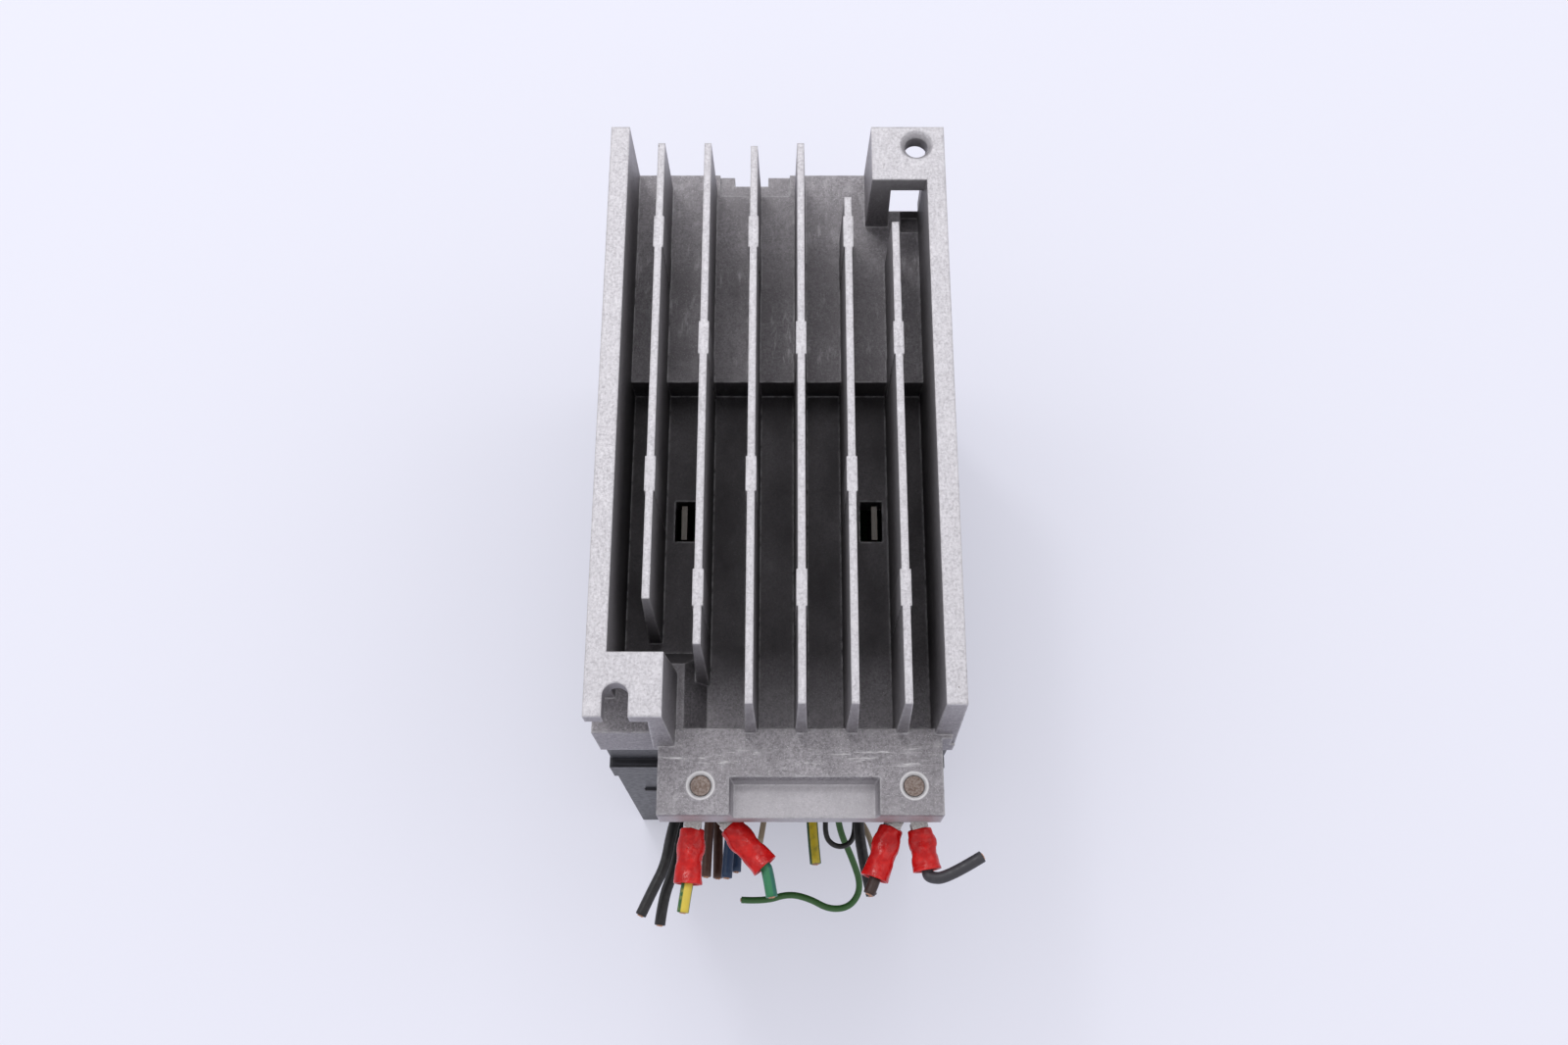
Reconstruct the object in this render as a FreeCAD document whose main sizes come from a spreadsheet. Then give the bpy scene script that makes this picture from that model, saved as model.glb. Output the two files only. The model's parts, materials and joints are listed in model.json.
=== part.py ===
"""Compact wall-mounting frequency drive, lying on its front rim with its heatsink up.

Row frame in millimetres: +Z points out of the heatsink's back, +Y towards the end with the round
mounting hole, -Y towards the wiring end. The origin is on the front rim, at the middle of the outline.
"""
import FreeCAD, Part
import math
import os
import re

import Sketcher
from FreeCAD import Rotation, Vector

SIZES = {
    # overall
    "CaseWidth": 72,
    "BodyLength": 130,
    "FlangeReach": 15,
    "CaseDepth": 120,
    "SinkHeight": 30,
    # heatsink casting
    "SideWall": 4,
    "SideDraft": 0.8,
    "FloorLevel": 5,
    "PlateLevel": 12,
    "FlangeLevel": 11,
    "FlangeDepth": 9,
    "FinPitch": 10,
    "FinTip": 1.5,
    "FinRoot": 2.8,
    "FinDrop": 0.2,
    "FinSlant": 2,
    "PadWidth": 2.1,
    "PadLength": 7.4,
    "StepY": 20,
    "FootPlate": 4.2,
    "FootHole": 5,
    "FootSink": 1.15,
    "HoleInset": 6,
    "HoleDrop": 4.5,
    "SlotRise": 4,
    "HeadRoom": 9.8,
    "EarthThread": 4,
    "PocketFloor": 7,
    # plastic case
    "CaseWall": 2,
    "RimWidth": 1.6,
    "PanelRecess": 1.2,
    "PanelThick": 2,
    "BandDepth": 1.5,
    "RidgeOut": 0.5,
    "TopSetback": 3,
    "DoorGap": 0.5,
    "HingePin": 1,
    "PinClearance": 0.05,
    "PinReach": 1.3,
    # controls
    "KeyLowY": 18,
    "DialY": 24,
    "DialX": 19,
    "DoorTopY": 4,
    "KeySize": 8,
    "KeyGap": 2.5,
    "KeyOuterX": -26,
    "KeyClearance": 0.25,
    "KeyTravel": 0.5,
    "DialRadius": 7,
    "DialClearance": 0.4,
    "ShaftRadius": 1.5,
    # boards
    "ControlLowY": -28,
    "PowerLowY": -38,
    "BoardThick": 1.6,
    "BoardClearance": 0.8,
    "OperatorBoardZ": 9.5,
    "ControlBoardZ": 24,
    "PowerBoardZ": 62,
    "ScrewHole": 1.7,
    "TerminalPitch": 5.5,
    "EntryRadius": 1.7,
    "EntryDepth": 13,
    "WireRowLow": 50.5,
    "WireRowHigh": 57,
}

# Places worked out from the driving sizes, as spreadsheet formulas.
PLACES = {
    "TopY": "((BodyLength + FlangeReach) / 2)",
    "BaseY": "(TopY - BodyLength)",
    "FlangeY": "(BaseY - FlangeReach)",
    "SideX": "(CaseWidth / 2)",
    "SplitZ": "(CaseDepth - SinkHeight)",
    "FloorZ": "(SplitZ + FloorLevel)",
    "PlateZ": "(SplitZ + PlateLevel)",
    "FlangeZ": "(SplitZ + FlangeLevel)",
    "FlangeLowZ": "(FlangeZ - FlangeDepth)",
    "FootZ": "(CaseDepth - FootPlate)",
    "HoleX": "(SideX - HoleInset)",
    "HoleY": "(TopY - HoleDrop)",
    "SlotX": "(HoleInset - SideX)",
    "SlotY": "(BaseY + SlotRise)",
    "ShellTopY": "(TopY - TopSetback)",
    "EarthLeftX": "(21.2 - SideX)",
    "EarthRightX": "(SideX - 8.9)",
    "EarthY": "(FlangeY + 5.7)",
    "InnerX": "(SideX - CaseWall)",
    "InnerTopY": "(ShellTopY - CaseWall)",
    "InnerBaseY": "(BaseY + CaseWall)",
    "PanelBackZ": "(PanelRecess + PanelThick)",
    "HingeX": "(3.9 - SideX)",
    "HingeZ": "(PanelRecess + PanelThick / 2)",
    "KeyPitch": "(KeySize + KeyGap)",
    "KeyLeftX": "(KeyOuterX + KeySize / 2)",
    "OperatorTopZ": "(OperatorBoardZ + BoardThick)",
    "ControlTopZ": "(ControlBoardZ + BoardThick)",
    "PowerTopZ": "(PowerBoardZ + BoardThick)",
    "BoardX": "(InnerX - BoardClearance)",
    "BoardTopY": "(InnerTopY - BoardClearance)",
    "TerminalY": "(InnerBaseY + 1.5)",
    "TerminalBackY": "(TerminalY + 15)",
    "TerminalX": "(3.5 * TerminalPitch)",
    "ModuleZ": "(SplitZ - 12.5)",
    "PadZ": "(SplitZ - 0.5)",
}

doc = FreeCAD.newDocument("FrequencyDrive")
sheet = doc.addObject("Spreadsheet::Sheet", "Sizes")
for row, (alias, millimetres) in enumerate(SIZES.items(), start=1):
    sheet.set(f"A{row}", alias)
    sheet.set(f"B{row}", str(millimetres))
    sheet.setAlias(f"B{row}", alias)
doc.recompute()


def formula(text):
    """A sheet expression from words that are sizes or places."""

    def word(match):
        name = match.group(0)
        if name in PLACES:
            return formula(PLACES[name])
        return "Sizes." + name if name in SIZES else name

    return re.sub(r"[A-Za-z_]\w*", word, str(text))


def bind(thing, field, text):
    thing.setExpression(field, formula(text))


def place(thing, x, y, z):
    for axis, text in zip("xyz", (x, y, z)):
        bind(thing, "Placement.Base." + axis, text)


def box(name, x, y, z):
    """A block from its low and high formulas along each axis."""
    block = doc.addObject("Part::Box", name)
    for field, (low, high) in zip(("Length", "Width", "Height"), (x, y, z)):
        bind(block, field, f"({high}) - ({low})")
    place(block, x[0], y[0], z[0])
    return block


TURNS = {
    "Y": Rotation(Vector(1, 0, 0), -90),
    "Z": Rotation(),
}


def rod(name, along, start, length, radius, end_radius=None):
    """A cylinder, or a cone where it ends at another radius."""
    shape = doc.addObject("Part::Cone" if end_radius else "Part::Cylinder", name)
    shape.Placement.Rotation = TURNS[along]
    bind(shape, "Height", length)
    bind(shape, "Radius1" if end_radius else "Radius", radius)
    if end_radius:
        bind(shape, "Radius2", end_radius)
    place(shape, *start)
    return shape


def rib(name, x, y, z, x_top, y_top):
    """A drafted rib that stands up Z, from its spans at the root and at the tip."""
    wedge = doc.addObject("Part::Wedge", name)
    wedge.Placement.Rotation = Rotation(Vector(1, 0, 0), 90)
    for field, text in (
        ("Xmin", x[0]), ("Xmax", x[1]), ("Zmin", f"-({y[1]})"), ("Zmax", f"-({y[0]})"),
        ("X2min", x_top[0]), ("X2max", x_top[1]), ("Z2min", f"-({y_top[1]})"), ("Z2max", f"-({y_top[0]})"),
        ("Ymin", z[0]), ("Ymax", z[1]),
    ):
        bind(wedge, field, text)
    return wedge


def fuse(name, shapes):
    union = doc.addObject("Part::MultiFuse", name)
    union.Shapes = shapes
    union.Refine = True
    return union


def cut(name, base, tools):
    result = doc.addObject("Part::Cut", name)
    result.Base = base
    result.Tool = tools[0] if len(tools) == 1 else fuse(name + "_tools", tools)
    result.Refine = True
    return result


def group(name, shapes):
    """Like pieces that share a node, as separate solids."""
    pieces = doc.addObject("Part::Compound", name)
    pieces.Links = shapes
    return pieces


def sketch_rectangle(sketch, corner, span, origin):
    """A rectangle at formulas measured from the body's own corner."""
    first = sketch.GeometryCount
    points = [Vector(1, 1, 0), Vector(2, 1, 0), Vector(2, 2, 0), Vector(1, 2, 0)]
    for start, end in zip(points, points[1:] + points[:1]):
        sketch.addGeometry(Part.LineSegment(start, end), False)
    for side in range(4):
        joint = Sketcher.Constraint("Coincident", first + side, 2, first + (side + 1) % 4, 1)
        sketch.addConstraint(joint)
    for side in (0, 2):
        sketch.addConstraint(Sketcher.Constraint("Horizontal", first + side))
        sketch.addConstraint(Sketcher.Constraint("Vertical", first + side + 1))
    sizes = (
        ("DistanceX", (first, 1, first, 2), f"({span[0]}) - ({corner[0]})"),
        ("DistanceY", (first + 1, 1, first + 1, 2), f"({span[1]}) - ({corner[1]})"),
        ("DistanceX", (-1, 1, first, 1), f"({corner[0]}) - ({origin[0]})"),
        ("DistanceY", (-1, 1, first, 1), f"({corner[1]}) - ({origin[1]})"),
    )
    for kind, ends, text in sizes:
        if corner == origin and ends[0] == -1:
            continue
        number = sketch.addConstraint(Sketcher.Constraint(kind, *ends, 1.0))
        bind(sketch, f"Constraints[{number}]", text)
    if corner == origin:
        sketch.addConstraint(Sketcher.Constraint("Coincident", first, 1, -1, 1))


def sketch_circle(sketch, centre, radius, origin):
    number = sketch.addGeometry(Part.Circle(Vector(3, 3, 0), Vector(0, 0, 1), 1), False)
    for kind, ends, text in (
        ("DistanceX", (-1, 1, number, 3), f"({centre[0]}) - ({origin[0]})"),
        ("DistanceY", (-1, 1, number, 3), f"({centre[1]}) - ({origin[1]})"),
        ("Radius", (number,), radius),
    ):
        constraint = sketch.addConstraint(Sketcher.Constraint(kind, *ends, 1.0))
        bind(sketch, f"Constraints[{constraint}]", text)


def sketch_on_base(body, name):
    sketch = body.newObject("Sketcher::SketchObject", name)
    plane = next(item for item in body.Origin.OriginFeatures if item.Role == "XY_Plane")
    sketch.AttachmentSupport = [(plane, "")]
    sketch.MapMode = "FlatFace"
    return sketch


def plate(name, x, y, z, windows=(), holes=()):
    """A PartDesign plate: a padded rectangle with windows and round holes cut through it."""
    body = doc.addObject("PartDesign::Body", name)
    origin = (x[0], y[0])
    outline = sketch_on_base(body, name + "_outline")
    sketch_rectangle(outline, origin, (x[1], y[1]), origin)
    pad = body.newObject("PartDesign::Pad", name + "_pad")
    pad.Profile = outline
    bind(pad, "Length", f"({z[1]}) - ({z[0]})")
    if windows or holes:
        openings = sketch_on_base(body, name + "_openings")
        for window_x, window_y in windows:
            sketch_rectangle(openings, (window_x[0], window_y[0]), (window_x[1], window_y[1]), origin)
        for centre, radius in holes:
            sketch_circle(openings, centre, radius, origin)
        pocket = body.newObject("PartDesign::Pocket", name + "_pocket")
        pocket.Profile = openings
        pocket.Type = "ThroughAll"
        pocket.Midplane = True
        body.Tip = pocket
    place(body, x[0], y[0], z[0])
    return body


nodes = {}


def node(name, shape):
    shape.Label = name
    nodes[name] = shape
    return shape


# ---- heatsink casting: a floor with two side walls, six drafted fins, two feet and the earth flange
fin_tops = (68.5, 68.5, 67.8, 68.5, 55.0, 48.9)
fin_bottoms = (-34.4, -43.4, -54.9, -54.9, -54.9, -54.9)
pads_high = (42.9, -12.2)
pads_low = (17.9, -35.8)
fins = []
for index in range(6):
    middle = f"({index - 2.5} * FinPitch)"
    fins.append(rib(
        f"fin_{index + 1}",
        (f"{middle} - FinRoot / 2", f"{middle} + FinRoot / 2"),
        (f"{fin_bottoms[index]} - FinSlant", f"{fin_tops[index]} + FinSlant / 4"),
        ("FloorZ - 1", "CaseDepth - FinDrop"),
        (f"{middle} - FinTip / 2", f"{middle} + FinTip / 2"),
        (f"{fin_bottoms[index]}", f"{fin_tops[index]}"),
    ))
    for low in pads_high if index % 2 == 0 else pads_low:
        if low + 8 < fin_tops[index] and low - 2 > fin_bottoms[index]:
            fins.append(rib(
                f"fin_{index + 1}_pad_{'a' if low > 0 else 'b'}",
                (f"{middle} - FinRoot / 2", f"{middle} + FinRoot / 2"),
                (f"{low}", f"{low} + PadLength"),
                ("FloorZ + 2", "CaseDepth - FinDrop"),
                (f"{middle} - PadWidth / 2", f"{middle} + PadWidth / 2"),
                (f"{low}", f"{low} + PadLength"),
            ))

left_wall = rib(
    "left_wall",
    ("-SideX", "SideWall + SideDraft - SideX"), ("BaseY", "TopY"), ("SplitZ", "CaseDepth"),
    ("-SideX", "SideWall - SideX"), ("BaseY", "TopY"),
)
right_wall = rib(
    "right_wall",
    ("SideX - SideWall - SideDraft", "SideX"), ("BaseY", "TopY"), ("SplitZ", "CaseDepth"),
    ("SideX - SideWall", "SideX"), ("BaseY + 2.4", "TopY"),
)
floor = box("sink_floor", ("-SideX", "SideX"), ("BaseY", "TopY - 0.3"), ("SplitZ", "FloorZ"))
upper_plate = box("upper_plate", ("-SideX + 1", "SideX - 1"), ("StepY", "TopY - 0.3"), ("SplitZ", "PlateZ"))
foot_base = rib(
    "foot_base",
    ("-SideX + 1", "26.5 - SideX"), ("BaseY + 1", "BaseY + 22.5"), ("SplitZ", "FlangeZ - 1"),
    ("-SideX + 1", "17.4 - SideX"), ("BaseY + 1", "BaseY + 15.5"),
)
flange = box("earth_flange", ("12.7 - SideX", "SideX - 3.1"), ("FlangeY", "BaseY + 2"),
    ("FlangeLowZ", "FlangeZ"))
flange_ramp = rib(
    "flange_ramp",
    ("12.7 - SideX", "SideX - 1"), ("BaseY", "BaseY + 4.5"), ("SplitZ", "FlangeZ"),
    ("12.7 - SideX", "SideX - 1"), ("BaseY", "BaseY + 2"),
)
top_foot = box("top_foot", ("SideX - 15.7", "SideX"), ("TopY - 13.25", "TopY"), ("FootZ", "CaseDepth"))
top_post = rib(
    "top_post",
    ("SideX - 16.4", "SideX - 11.4"), ("TopY - 13.8", "TopY"), ("PlateZ - 1", "CaseDepth"),
    ("SideX - 15.7", "SideX - 11.5"), ("TopY - 13.25", "TopY"),
)
low_foot = box("low_foot", ("-SideX", "14.8 - SideX"), ("BaseY", "BaseY + 12.5"), ("FootZ", "CaseDepth"))
# solid corner under the slotted foot, with room for the screw's head above it
foot_block = box("foot_block", ("-SideX", "12 - SideX"), ("BaseY", "BaseY + 12"),
    ("SplitZ", "FootZ - HeadRoom"))
low_post = rib(
    "low_post",
    ("11.6 - SideX", "16.1 - SideX"), ("BaseY - 1.7", "BaseY + 13.6"), ("FlangeZ - 2", "CaseDepth"),
    ("12 - SideX", "14.8 - SideX"), ("BaseY", "BaseY + 12.5"),
)
bosses = []
boss_places = [(f"{side}(SideX - 7)", y) for side in ("-", "") for y in ("-32", "TopY - 12")]
for index, (x, y) in enumerate(boss_places, start=1):
    bosses.append(rod(f"boss_{index}", "Z", (x, y, "PowerTopZ"), "SplitZ - PowerTopZ + 1", "3.2"))
solid_casting = fuse(
    "casting_solid",
    fins + [left_wall, right_wall, floor, upper_plate, foot_base, flange, flange_ramp,
            top_foot, top_post, low_foot, foot_block, low_post] + bosses,
)

casting_cuts = [
    # hollow under the thick upper plate
    box("plate_hollow", ("-SideX + 8", "SideX - 14"), ("StepY + 5", "TopY - 22"),
        ("SplitZ - 1", "PlateZ - 5")),
    # window beneath the round-hole foot, open to the top edge
    box("foot_window", ("SideX - 11.4", "SideX - 3.2"), ("TopY - 9.7", "TopY + 1"), ("SplitZ - 1", "FootZ")),
    box("foot_pocket", ("SideX - 8.4", "SideX - 4.2"), ("TopY - 15.2", "TopY - 9.8"),
        ("PlateZ - 3", "PlateZ + 1")),
    box("edge_notch", ("-9.8", "-2.2"), ("TopY - 2.6", "TopY + 1"), ("SplitZ - 1", "PlateZ + 1")),
    box("edge_pocket", ("-13.1", "2.7"), ("TopY - 5.7", "TopY + 1"), ("PlateZ - 1", "PlateZ + 1")),
    box("window_left", ("-21.7", "-17"), ("-14", "-4.9"), ("SplitZ - 1", "FloorZ + 1")),
    box("window_right", ("17.7", "22.4"), ("-14", "-4.9"), ("SplitZ - 1", "FloorZ + 1")),
    rib("flange_pocket",
        ("-8.4", "19.6"), ("FlangeY - 1", "FlangeY + 6.6"), ("SplitZ + PocketFloor", "FlangeZ + 0.01"),
        ("-9.2", "20.4"), ("FlangeY - 1", "FlangeY + 7.4")),
    rod("foot_hole", "Z", ("HoleX", "HoleY", "FootZ - 1"), "FootPlate + 2", "FootHole / 2"),
    rod("foot_countersink", "Z", ("HoleX", "HoleY", "CaseDepth - FootSink"), "FootSink + 0.01",
        "FootHole / 2", "FootHole / 2 + FootSink + 0.01"),
    rod("slot_round", "Z", ("SlotX", "SlotY", "FootZ - 1"), "FootPlate + 2", "FootHole / 2"),
    box("slot_mouth", ("SlotX - FootHole / 2", "SlotX + FootHole / 2"), ("BaseY - 1", "SlotY"),
        ("FootZ - 1", "CaseDepth + 1")),
    # side wall cut back beneath the slotted foot, beside the screw's head
    box("slot_corner", ("-SideX - 1", "SideWall + SideDraft - SideX"), ("BaseY - 1", "BaseY + 7"),
        ("FootZ - HeadRoom", "FootZ")),
]
for side, x in (("left", "EarthLeftX"), ("right", "EarthRightX")):
    casting_cuts.append(rod(
        f"earth_hole_{side}", "Z", (x, "EarthY", "FlangeLowZ - 1"), "FlangeDepth + 2",
            "EarthThread / 2 + 0.05"))
    casting_cuts.append(rod(
        f"earth_rim_{side}", "Z", (x, "EarthY", "FlangeZ - 0.5"), "0.51", "EarthThread / 2 + 0.05",
        "EarthThread / 2 + 0.55"))
for index, (x, y) in enumerate(boss_places, start=1):
    casting_cuts.append(rod(f"boss_bore_{index}", "Z", (x, y, "PowerTopZ - 1"), "9", "1.25"))
node("heatsink_casting", cut("heatsink", solid_casting, casting_cuts))

# ---- spring clips that hold the power module, seen in the two floor windows
clips = []
for side, low, high in (("left", "-20.4", "-19.2"), ("right", "20.2", "21.4")):
    blade = box(f"clip_blade_{side}", (low, high), ("-13.2", "-5.6"), ("SplitZ - 12.5", "FloorZ - 1"))
    inward = ("-20.4", "-12") if side == "left" else ("12", "21.4")
    tongue = box(f"clip_tongue_{side}", inward, ("-11.5", "-7.5"), ("SplitZ - 13.3", "SplitZ - 12.5"))
    clips.append(fuse(f"clip_{side}", [blade, tongue]))
node("module_clips", group("clips", clips))

# ---- earth screws, with two ring lugs stacked under each head
lug_sheet = 0.8
lugs_per_screw = 2
screws = []
for side, x in (("left", "EarthLeftX"), ("right", "EarthRightX")):
    head_z = f"(FlangeLowZ - {lugs_per_screw * lug_sheet + 2.4})"
    head = rod(f"earth_head_{side}", "Z", (x, "EarthY", head_z), "2.4", "3.6")
    shank = rod(f"earth_shank_{side}", "Z", (x, "EarthY", head_z), f"FlangeZ - 0.4 - {head_z}",
        "EarthThread / 2 - 0.03")
    screw = fuse(f"earth_screw_{side}_solid", [head, shank])
    slot_a = box(f"earth_slot_{side}_a", (f"{x} - 2.2", f"{x} + 2.2"), ("EarthY - 0.4", "EarthY + 0.4"),
                 (f"{head_z} - 1", f"{head_z} + 1.2"))
    slot_b = box(f"earth_slot_{side}_b", (f"{x} - 0.4", f"{x} + 0.4"), ("EarthY - 2.2", "EarthY + 2.2"),
                 (f"{head_z} - 1", f"{head_z} + 1.2"))
    screws.append(cut(f"earth_screw_{side}", screw, [slot_a, slot_b]))
node("earth_screws", group("earth_screw_pair", screws))

doc.recompute()


def number(text):
    """The value of one driving size, or of a place that part of the model needs as a plain number."""
    return float(sheet.get(text))


top_y = (number("BodyLength") + number("FlangeReach")) / 2
flange_y = top_y - number("BodyLength") - number("FlangeReach")
flange_low_z = number("CaseDepth") - number("SinkHeight") + number("FlangeLevel") - number("FlangeDepth")
earth_y = flange_y + 5.7
earth_x = {"left": 21.2 - number("CaseWidth") / 2, "right": number("CaseWidth") / 2 - 8.9}

def tube(name, radius, route):
    """A tube along straight runs joined by the largest tangent arcs that the runs allow."""
    points = [Vector(*point) for point in route]
    edges = []
    radii = []
    start = points[0]
    for before, corner, after in zip(points, points[1:], points[2:]):
        run_in, run_out = corner - before, after - corner
        shorter = min(run_in.Length, run_out.Length)
        turn = run_in.getAngle(run_out)
        reach = 0.45 * shorter
        radii.append(reach / math.tan(turn / 2))
        inward, outward = Vector(run_in).normalize(), Vector(run_out).normalize()
        first, last = corner - inward * reach, corner + outward * reach
        bisector = (outward - inward).normalize()
        centre = corner + bisector * (radii[-1] / math.cos(turn / 2))
        middle = centre - bisector * radii[-1]
        edges.append(Part.LineSegment(start, first).toShape())
        edges.append(Part.Arc(first, middle, last).toShape())
        start = last
    edges.append(Part.LineSegment(start, points[-1]).toShape())
    path = Part.Wire(edges)
    heading = points[1] - points[0]
    ring = Part.Wire([Part.Circle(points[0], heading, radius).toShape()])
    solid = path.makePipeShell([ring], True, False)
    share = solid.Volume / (math.pi * radius ** 2 * path.Length)
    print(f"{name}: length {path.Length:.1f}, radii {min(radii):.1f} to {max(radii):.1f} "
          f"({min(radii) / radius / 2:.1f} diameters), volume share {share:.4f}")
    if abs(share - 1) > 0.02:
        raise ValueError(f"{name} has the wrong volume")
    return solid


sleeve_radius = 2.65
barrel_radius = 1.85
barrel_show = 1.2
stub_radius = 1.19
# side of the screw, rank in the stack, where the sleeve starts from the screw, its heading in degrees
# from -Y, its length, then the points of the cut-off wire beyond the sleeve with their rise
lug_layout = (
    ("left", 0, (-2.1, -6.8), -3.6, 10.8, ((-3.1, -19.2, 0.1), (-3.6, -23.1, 0))),
    ("left", 1, (5.5, -6.1), 42, 10.6, ((13.1, -14.8, 0), (14.0, -20.0, 0))),
    ("right", 1, (-3.8, -6.4), -20, 10.6, ((-7.4, -16.6, 0), (-8.6, -19.4, 0))),
    ("right", 0, (1.8, -6.8), 9, 8.2, ((3.3, -16.3, 0.4), (6.7, -16.6, 1.6), (13.9, -12.4, 2.6))),
)
rings = []
sleeves = []
stubs = []
for side, rank, (start_x, start_y), heading, sleeve_length, cut_wire in lug_layout:
    sheet_top = flange_low_z - rank * lug_sheet
    sheet_low = sheet_top - lug_sheet
    axis_z = sheet_top - sleeve_radius + 0.35
    forward = Rotation(Vector(0, 0, 1), heading).multVec(Vector(0, -1, 0))
    axis_start = Vector(earth_x[side], earth_y, axis_z)
    mouth = axis_start + Vector(start_x, start_y, 0)

    def length_of_tube(offset, length, radius):
        return Part.makeCylinder(radius, length, mouth + forward * offset, forward)

    seat = Vector(earth_x[side], earth_y, sheet_low)
    ring = Part.makeCylinder(3.7, lug_sheet, seat)
    reach = Vector(start_x, start_y, 0)
    neck = Part.makeBox(reach.Length, 3.2, lug_sheet, Vector(0, -1.6, 0))
    neck.rotate(Vector(0, 0, 0), Vector(0, 0, 1), math.degrees(math.atan2(reach.y, reach.x)))
    neck.translate(seat)
    bore = Part.makeCylinder(number("EarthThread") / 2 + 0.15, 3, seat - Vector(0, 0, 1))
    barrel = length_of_tube(-barrel_show, barrel_show + 5, barrel_radius)
    rings.append(ring.fuse([neck, barrel]).cut(bore).cut(length_of_tube(0.2, 6, stub_radius + 0.01)))
    sleeve = length_of_tube(0, sleeve_length, sleeve_radius)
    throat = length_of_tube(5, sleeve_length, sleeve_radius - 0.5)
    sleeves.append(sleeve.cut(length_of_tube(-0.1, 5.2, barrel_radius)).cut(throat).cut(neck))
    points = [mouth + forward * 0.2, mouth + forward * 6.2]
    points += [axis_start + Vector(x, y, rise) for x, y, rise in cut_wire]
    stubs.append(tube(f"{side} lug {rank} wire", stub_radius, points))


def feature(name, shapes):
    thing = doc.addObject("Part::Feature", name)
    thing.Shape = shapes[0] if len(shapes) == 1 else Part.makeCompound(shapes)
    thing.Placement = FreeCAD.Placement()
    return node(name, thing)


feature("ring_lugs", rings)
feature("lug_sleeves", sleeves)
feature("lug_wire_stubs", stubs)

# ---- plastic case shell, open at the front and towards the heatsink
shell = box("shell_block", ("-SideX + RidgeOut", "SideX - RidgeOut"), ("BaseY", "ShellTopY"), ("0", "SplitZ"))
ridge = box("shell_ridge", ("-SideX", "SideX"), ("BaseY - RidgeOut", "ShellTopY"),
    ("SplitZ - 26", "SplitZ - 16"))
shell_cuts = [
    box("shell_hollow", ("-InnerX", "InnerX"), ("InnerBaseY", "InnerTopY"),
        ("PanelBackZ + 1.2", "SplitZ + 1")),
    box("shell_mouth", ("-SideX + RidgeOut + RimWidth", "SideX - RidgeOut - RimWidth"),
        ("BaseY + RimWidth", "ShellTopY - RimWidth"), ("-1", "PanelBackZ")),
    box("shell_ledge_cut", ("-InnerX + 2.4", "InnerX - 2.4"), ("InnerBaseY + 1", "InnerTopY - 2.4"),
        ("-1", "10")),
    # recessed band under the casting on the wiring end
    box("band_cut", ("-SideX - 1", "SideX + 1"), ("BaseY - 1", "BaseY + BandDepth - 0.4"),
        ("SplitZ - 15", "SplitZ")),
    # wiring mouth in the end wall
    box("wiring_mouth", ("-TerminalX - 4", "TerminalX + 4"), ("BaseY - 1", "InnerBaseY + 1"),
        ("WireRowLow - 4", "WireRowHigh + 4")),
    box("comb_seat", ("-SideX + 5", "SideX - 5"), ("BaseY - 1", "BaseY + 1"), ("8", "WireRowLow - 4")),
]
vent_count = 14
for index in range(vent_count):
    y = f"({index} * 7 - 38)"
    shell_cuts.append(box(f"side_vent_{index}", ("-SideX - 1", "SideX + 1"), (y, f"{y} + 2.5"), ("20", "56")))
    if index < 8:
        x = f"({index} * 7 - 26)"
        shell_cuts.append(box(f"end_vent_{index}", (x, f"{x} + 2.5"), ("InnerTopY - 1", "ShellTopY + 1"),
            ("20", "56")))
shell_cuts.append(rod("hinge_bore_low", "Y", ("HingeX", "BaseY + 0.4", "HingeZ"), "3",
    "HingePin + PinClearance"))
housing = cut("shell", fuse("shell_solid", [shell, ridge]), shell_cuts)
low_ear = box("low_ear", ("-SideX + RidgeOut", "HingeX + 2.2"), ("BaseY", "BaseY + 3"),
    ("0.4", "HingeZ + 2.4"))
# the upper ear is the end of a bar across the front, between the door and the panel
high_ear = box("high_ear", ("-SideX + RidgeOut", "SideX - RidgeOut"), ("DoorTopY + 0.4", "DoorTopY + 3.4"),
               ("PanelRecess", "HingeZ + 2.4"))
# closes the case beneath the casting's open corner
corner_block = box("corner_block", ("SideX - 13", "InnerX + 0.5"), ("TopY - 8.6", "InnerTopY + 0.5"),
                   ("SplitZ - 2", "SplitZ"))
ear_bore = rod("ear_bore", "Y", ("HingeX", "BaseY + 1", "HingeZ"), "DoorTopY - BaseY + 1.2",
    "HingePin + PinClearance")
door_room = box("door_room", ("HingeX - 1.3", "HingeX + 3"), ("BaseY + 3", "DoorTopY + 0.4"),
    ("-1", "HingeZ + 1.5"))
housing = cut("shell_with_ears", fuse("shell_ears", [housing, low_ear, high_ear, corner_block]),
    [ear_bore, door_room])
node("housing", housing)

# ---- wiring comb: slotted plate that closes the wiring end
comb = plate("comb_plate", ("-SideX + 5.2", "SideX - 5.2"), ("8.2", "WireRowLow - 4.2"), ("0", "1.6"),
             windows=[((f"({i} * 7 - 27.5)", f"({i} * 7 - 23)"), ("13", "WireRowLow - 9")) for i in range(8)])
comb.Placement.Rotation = Rotation(Vector(1, 0, 0), 90)
place(comb, "-SideX + 5.2", "BaseY + 1", "8.2")
node("wiring_comb", comb)

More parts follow.
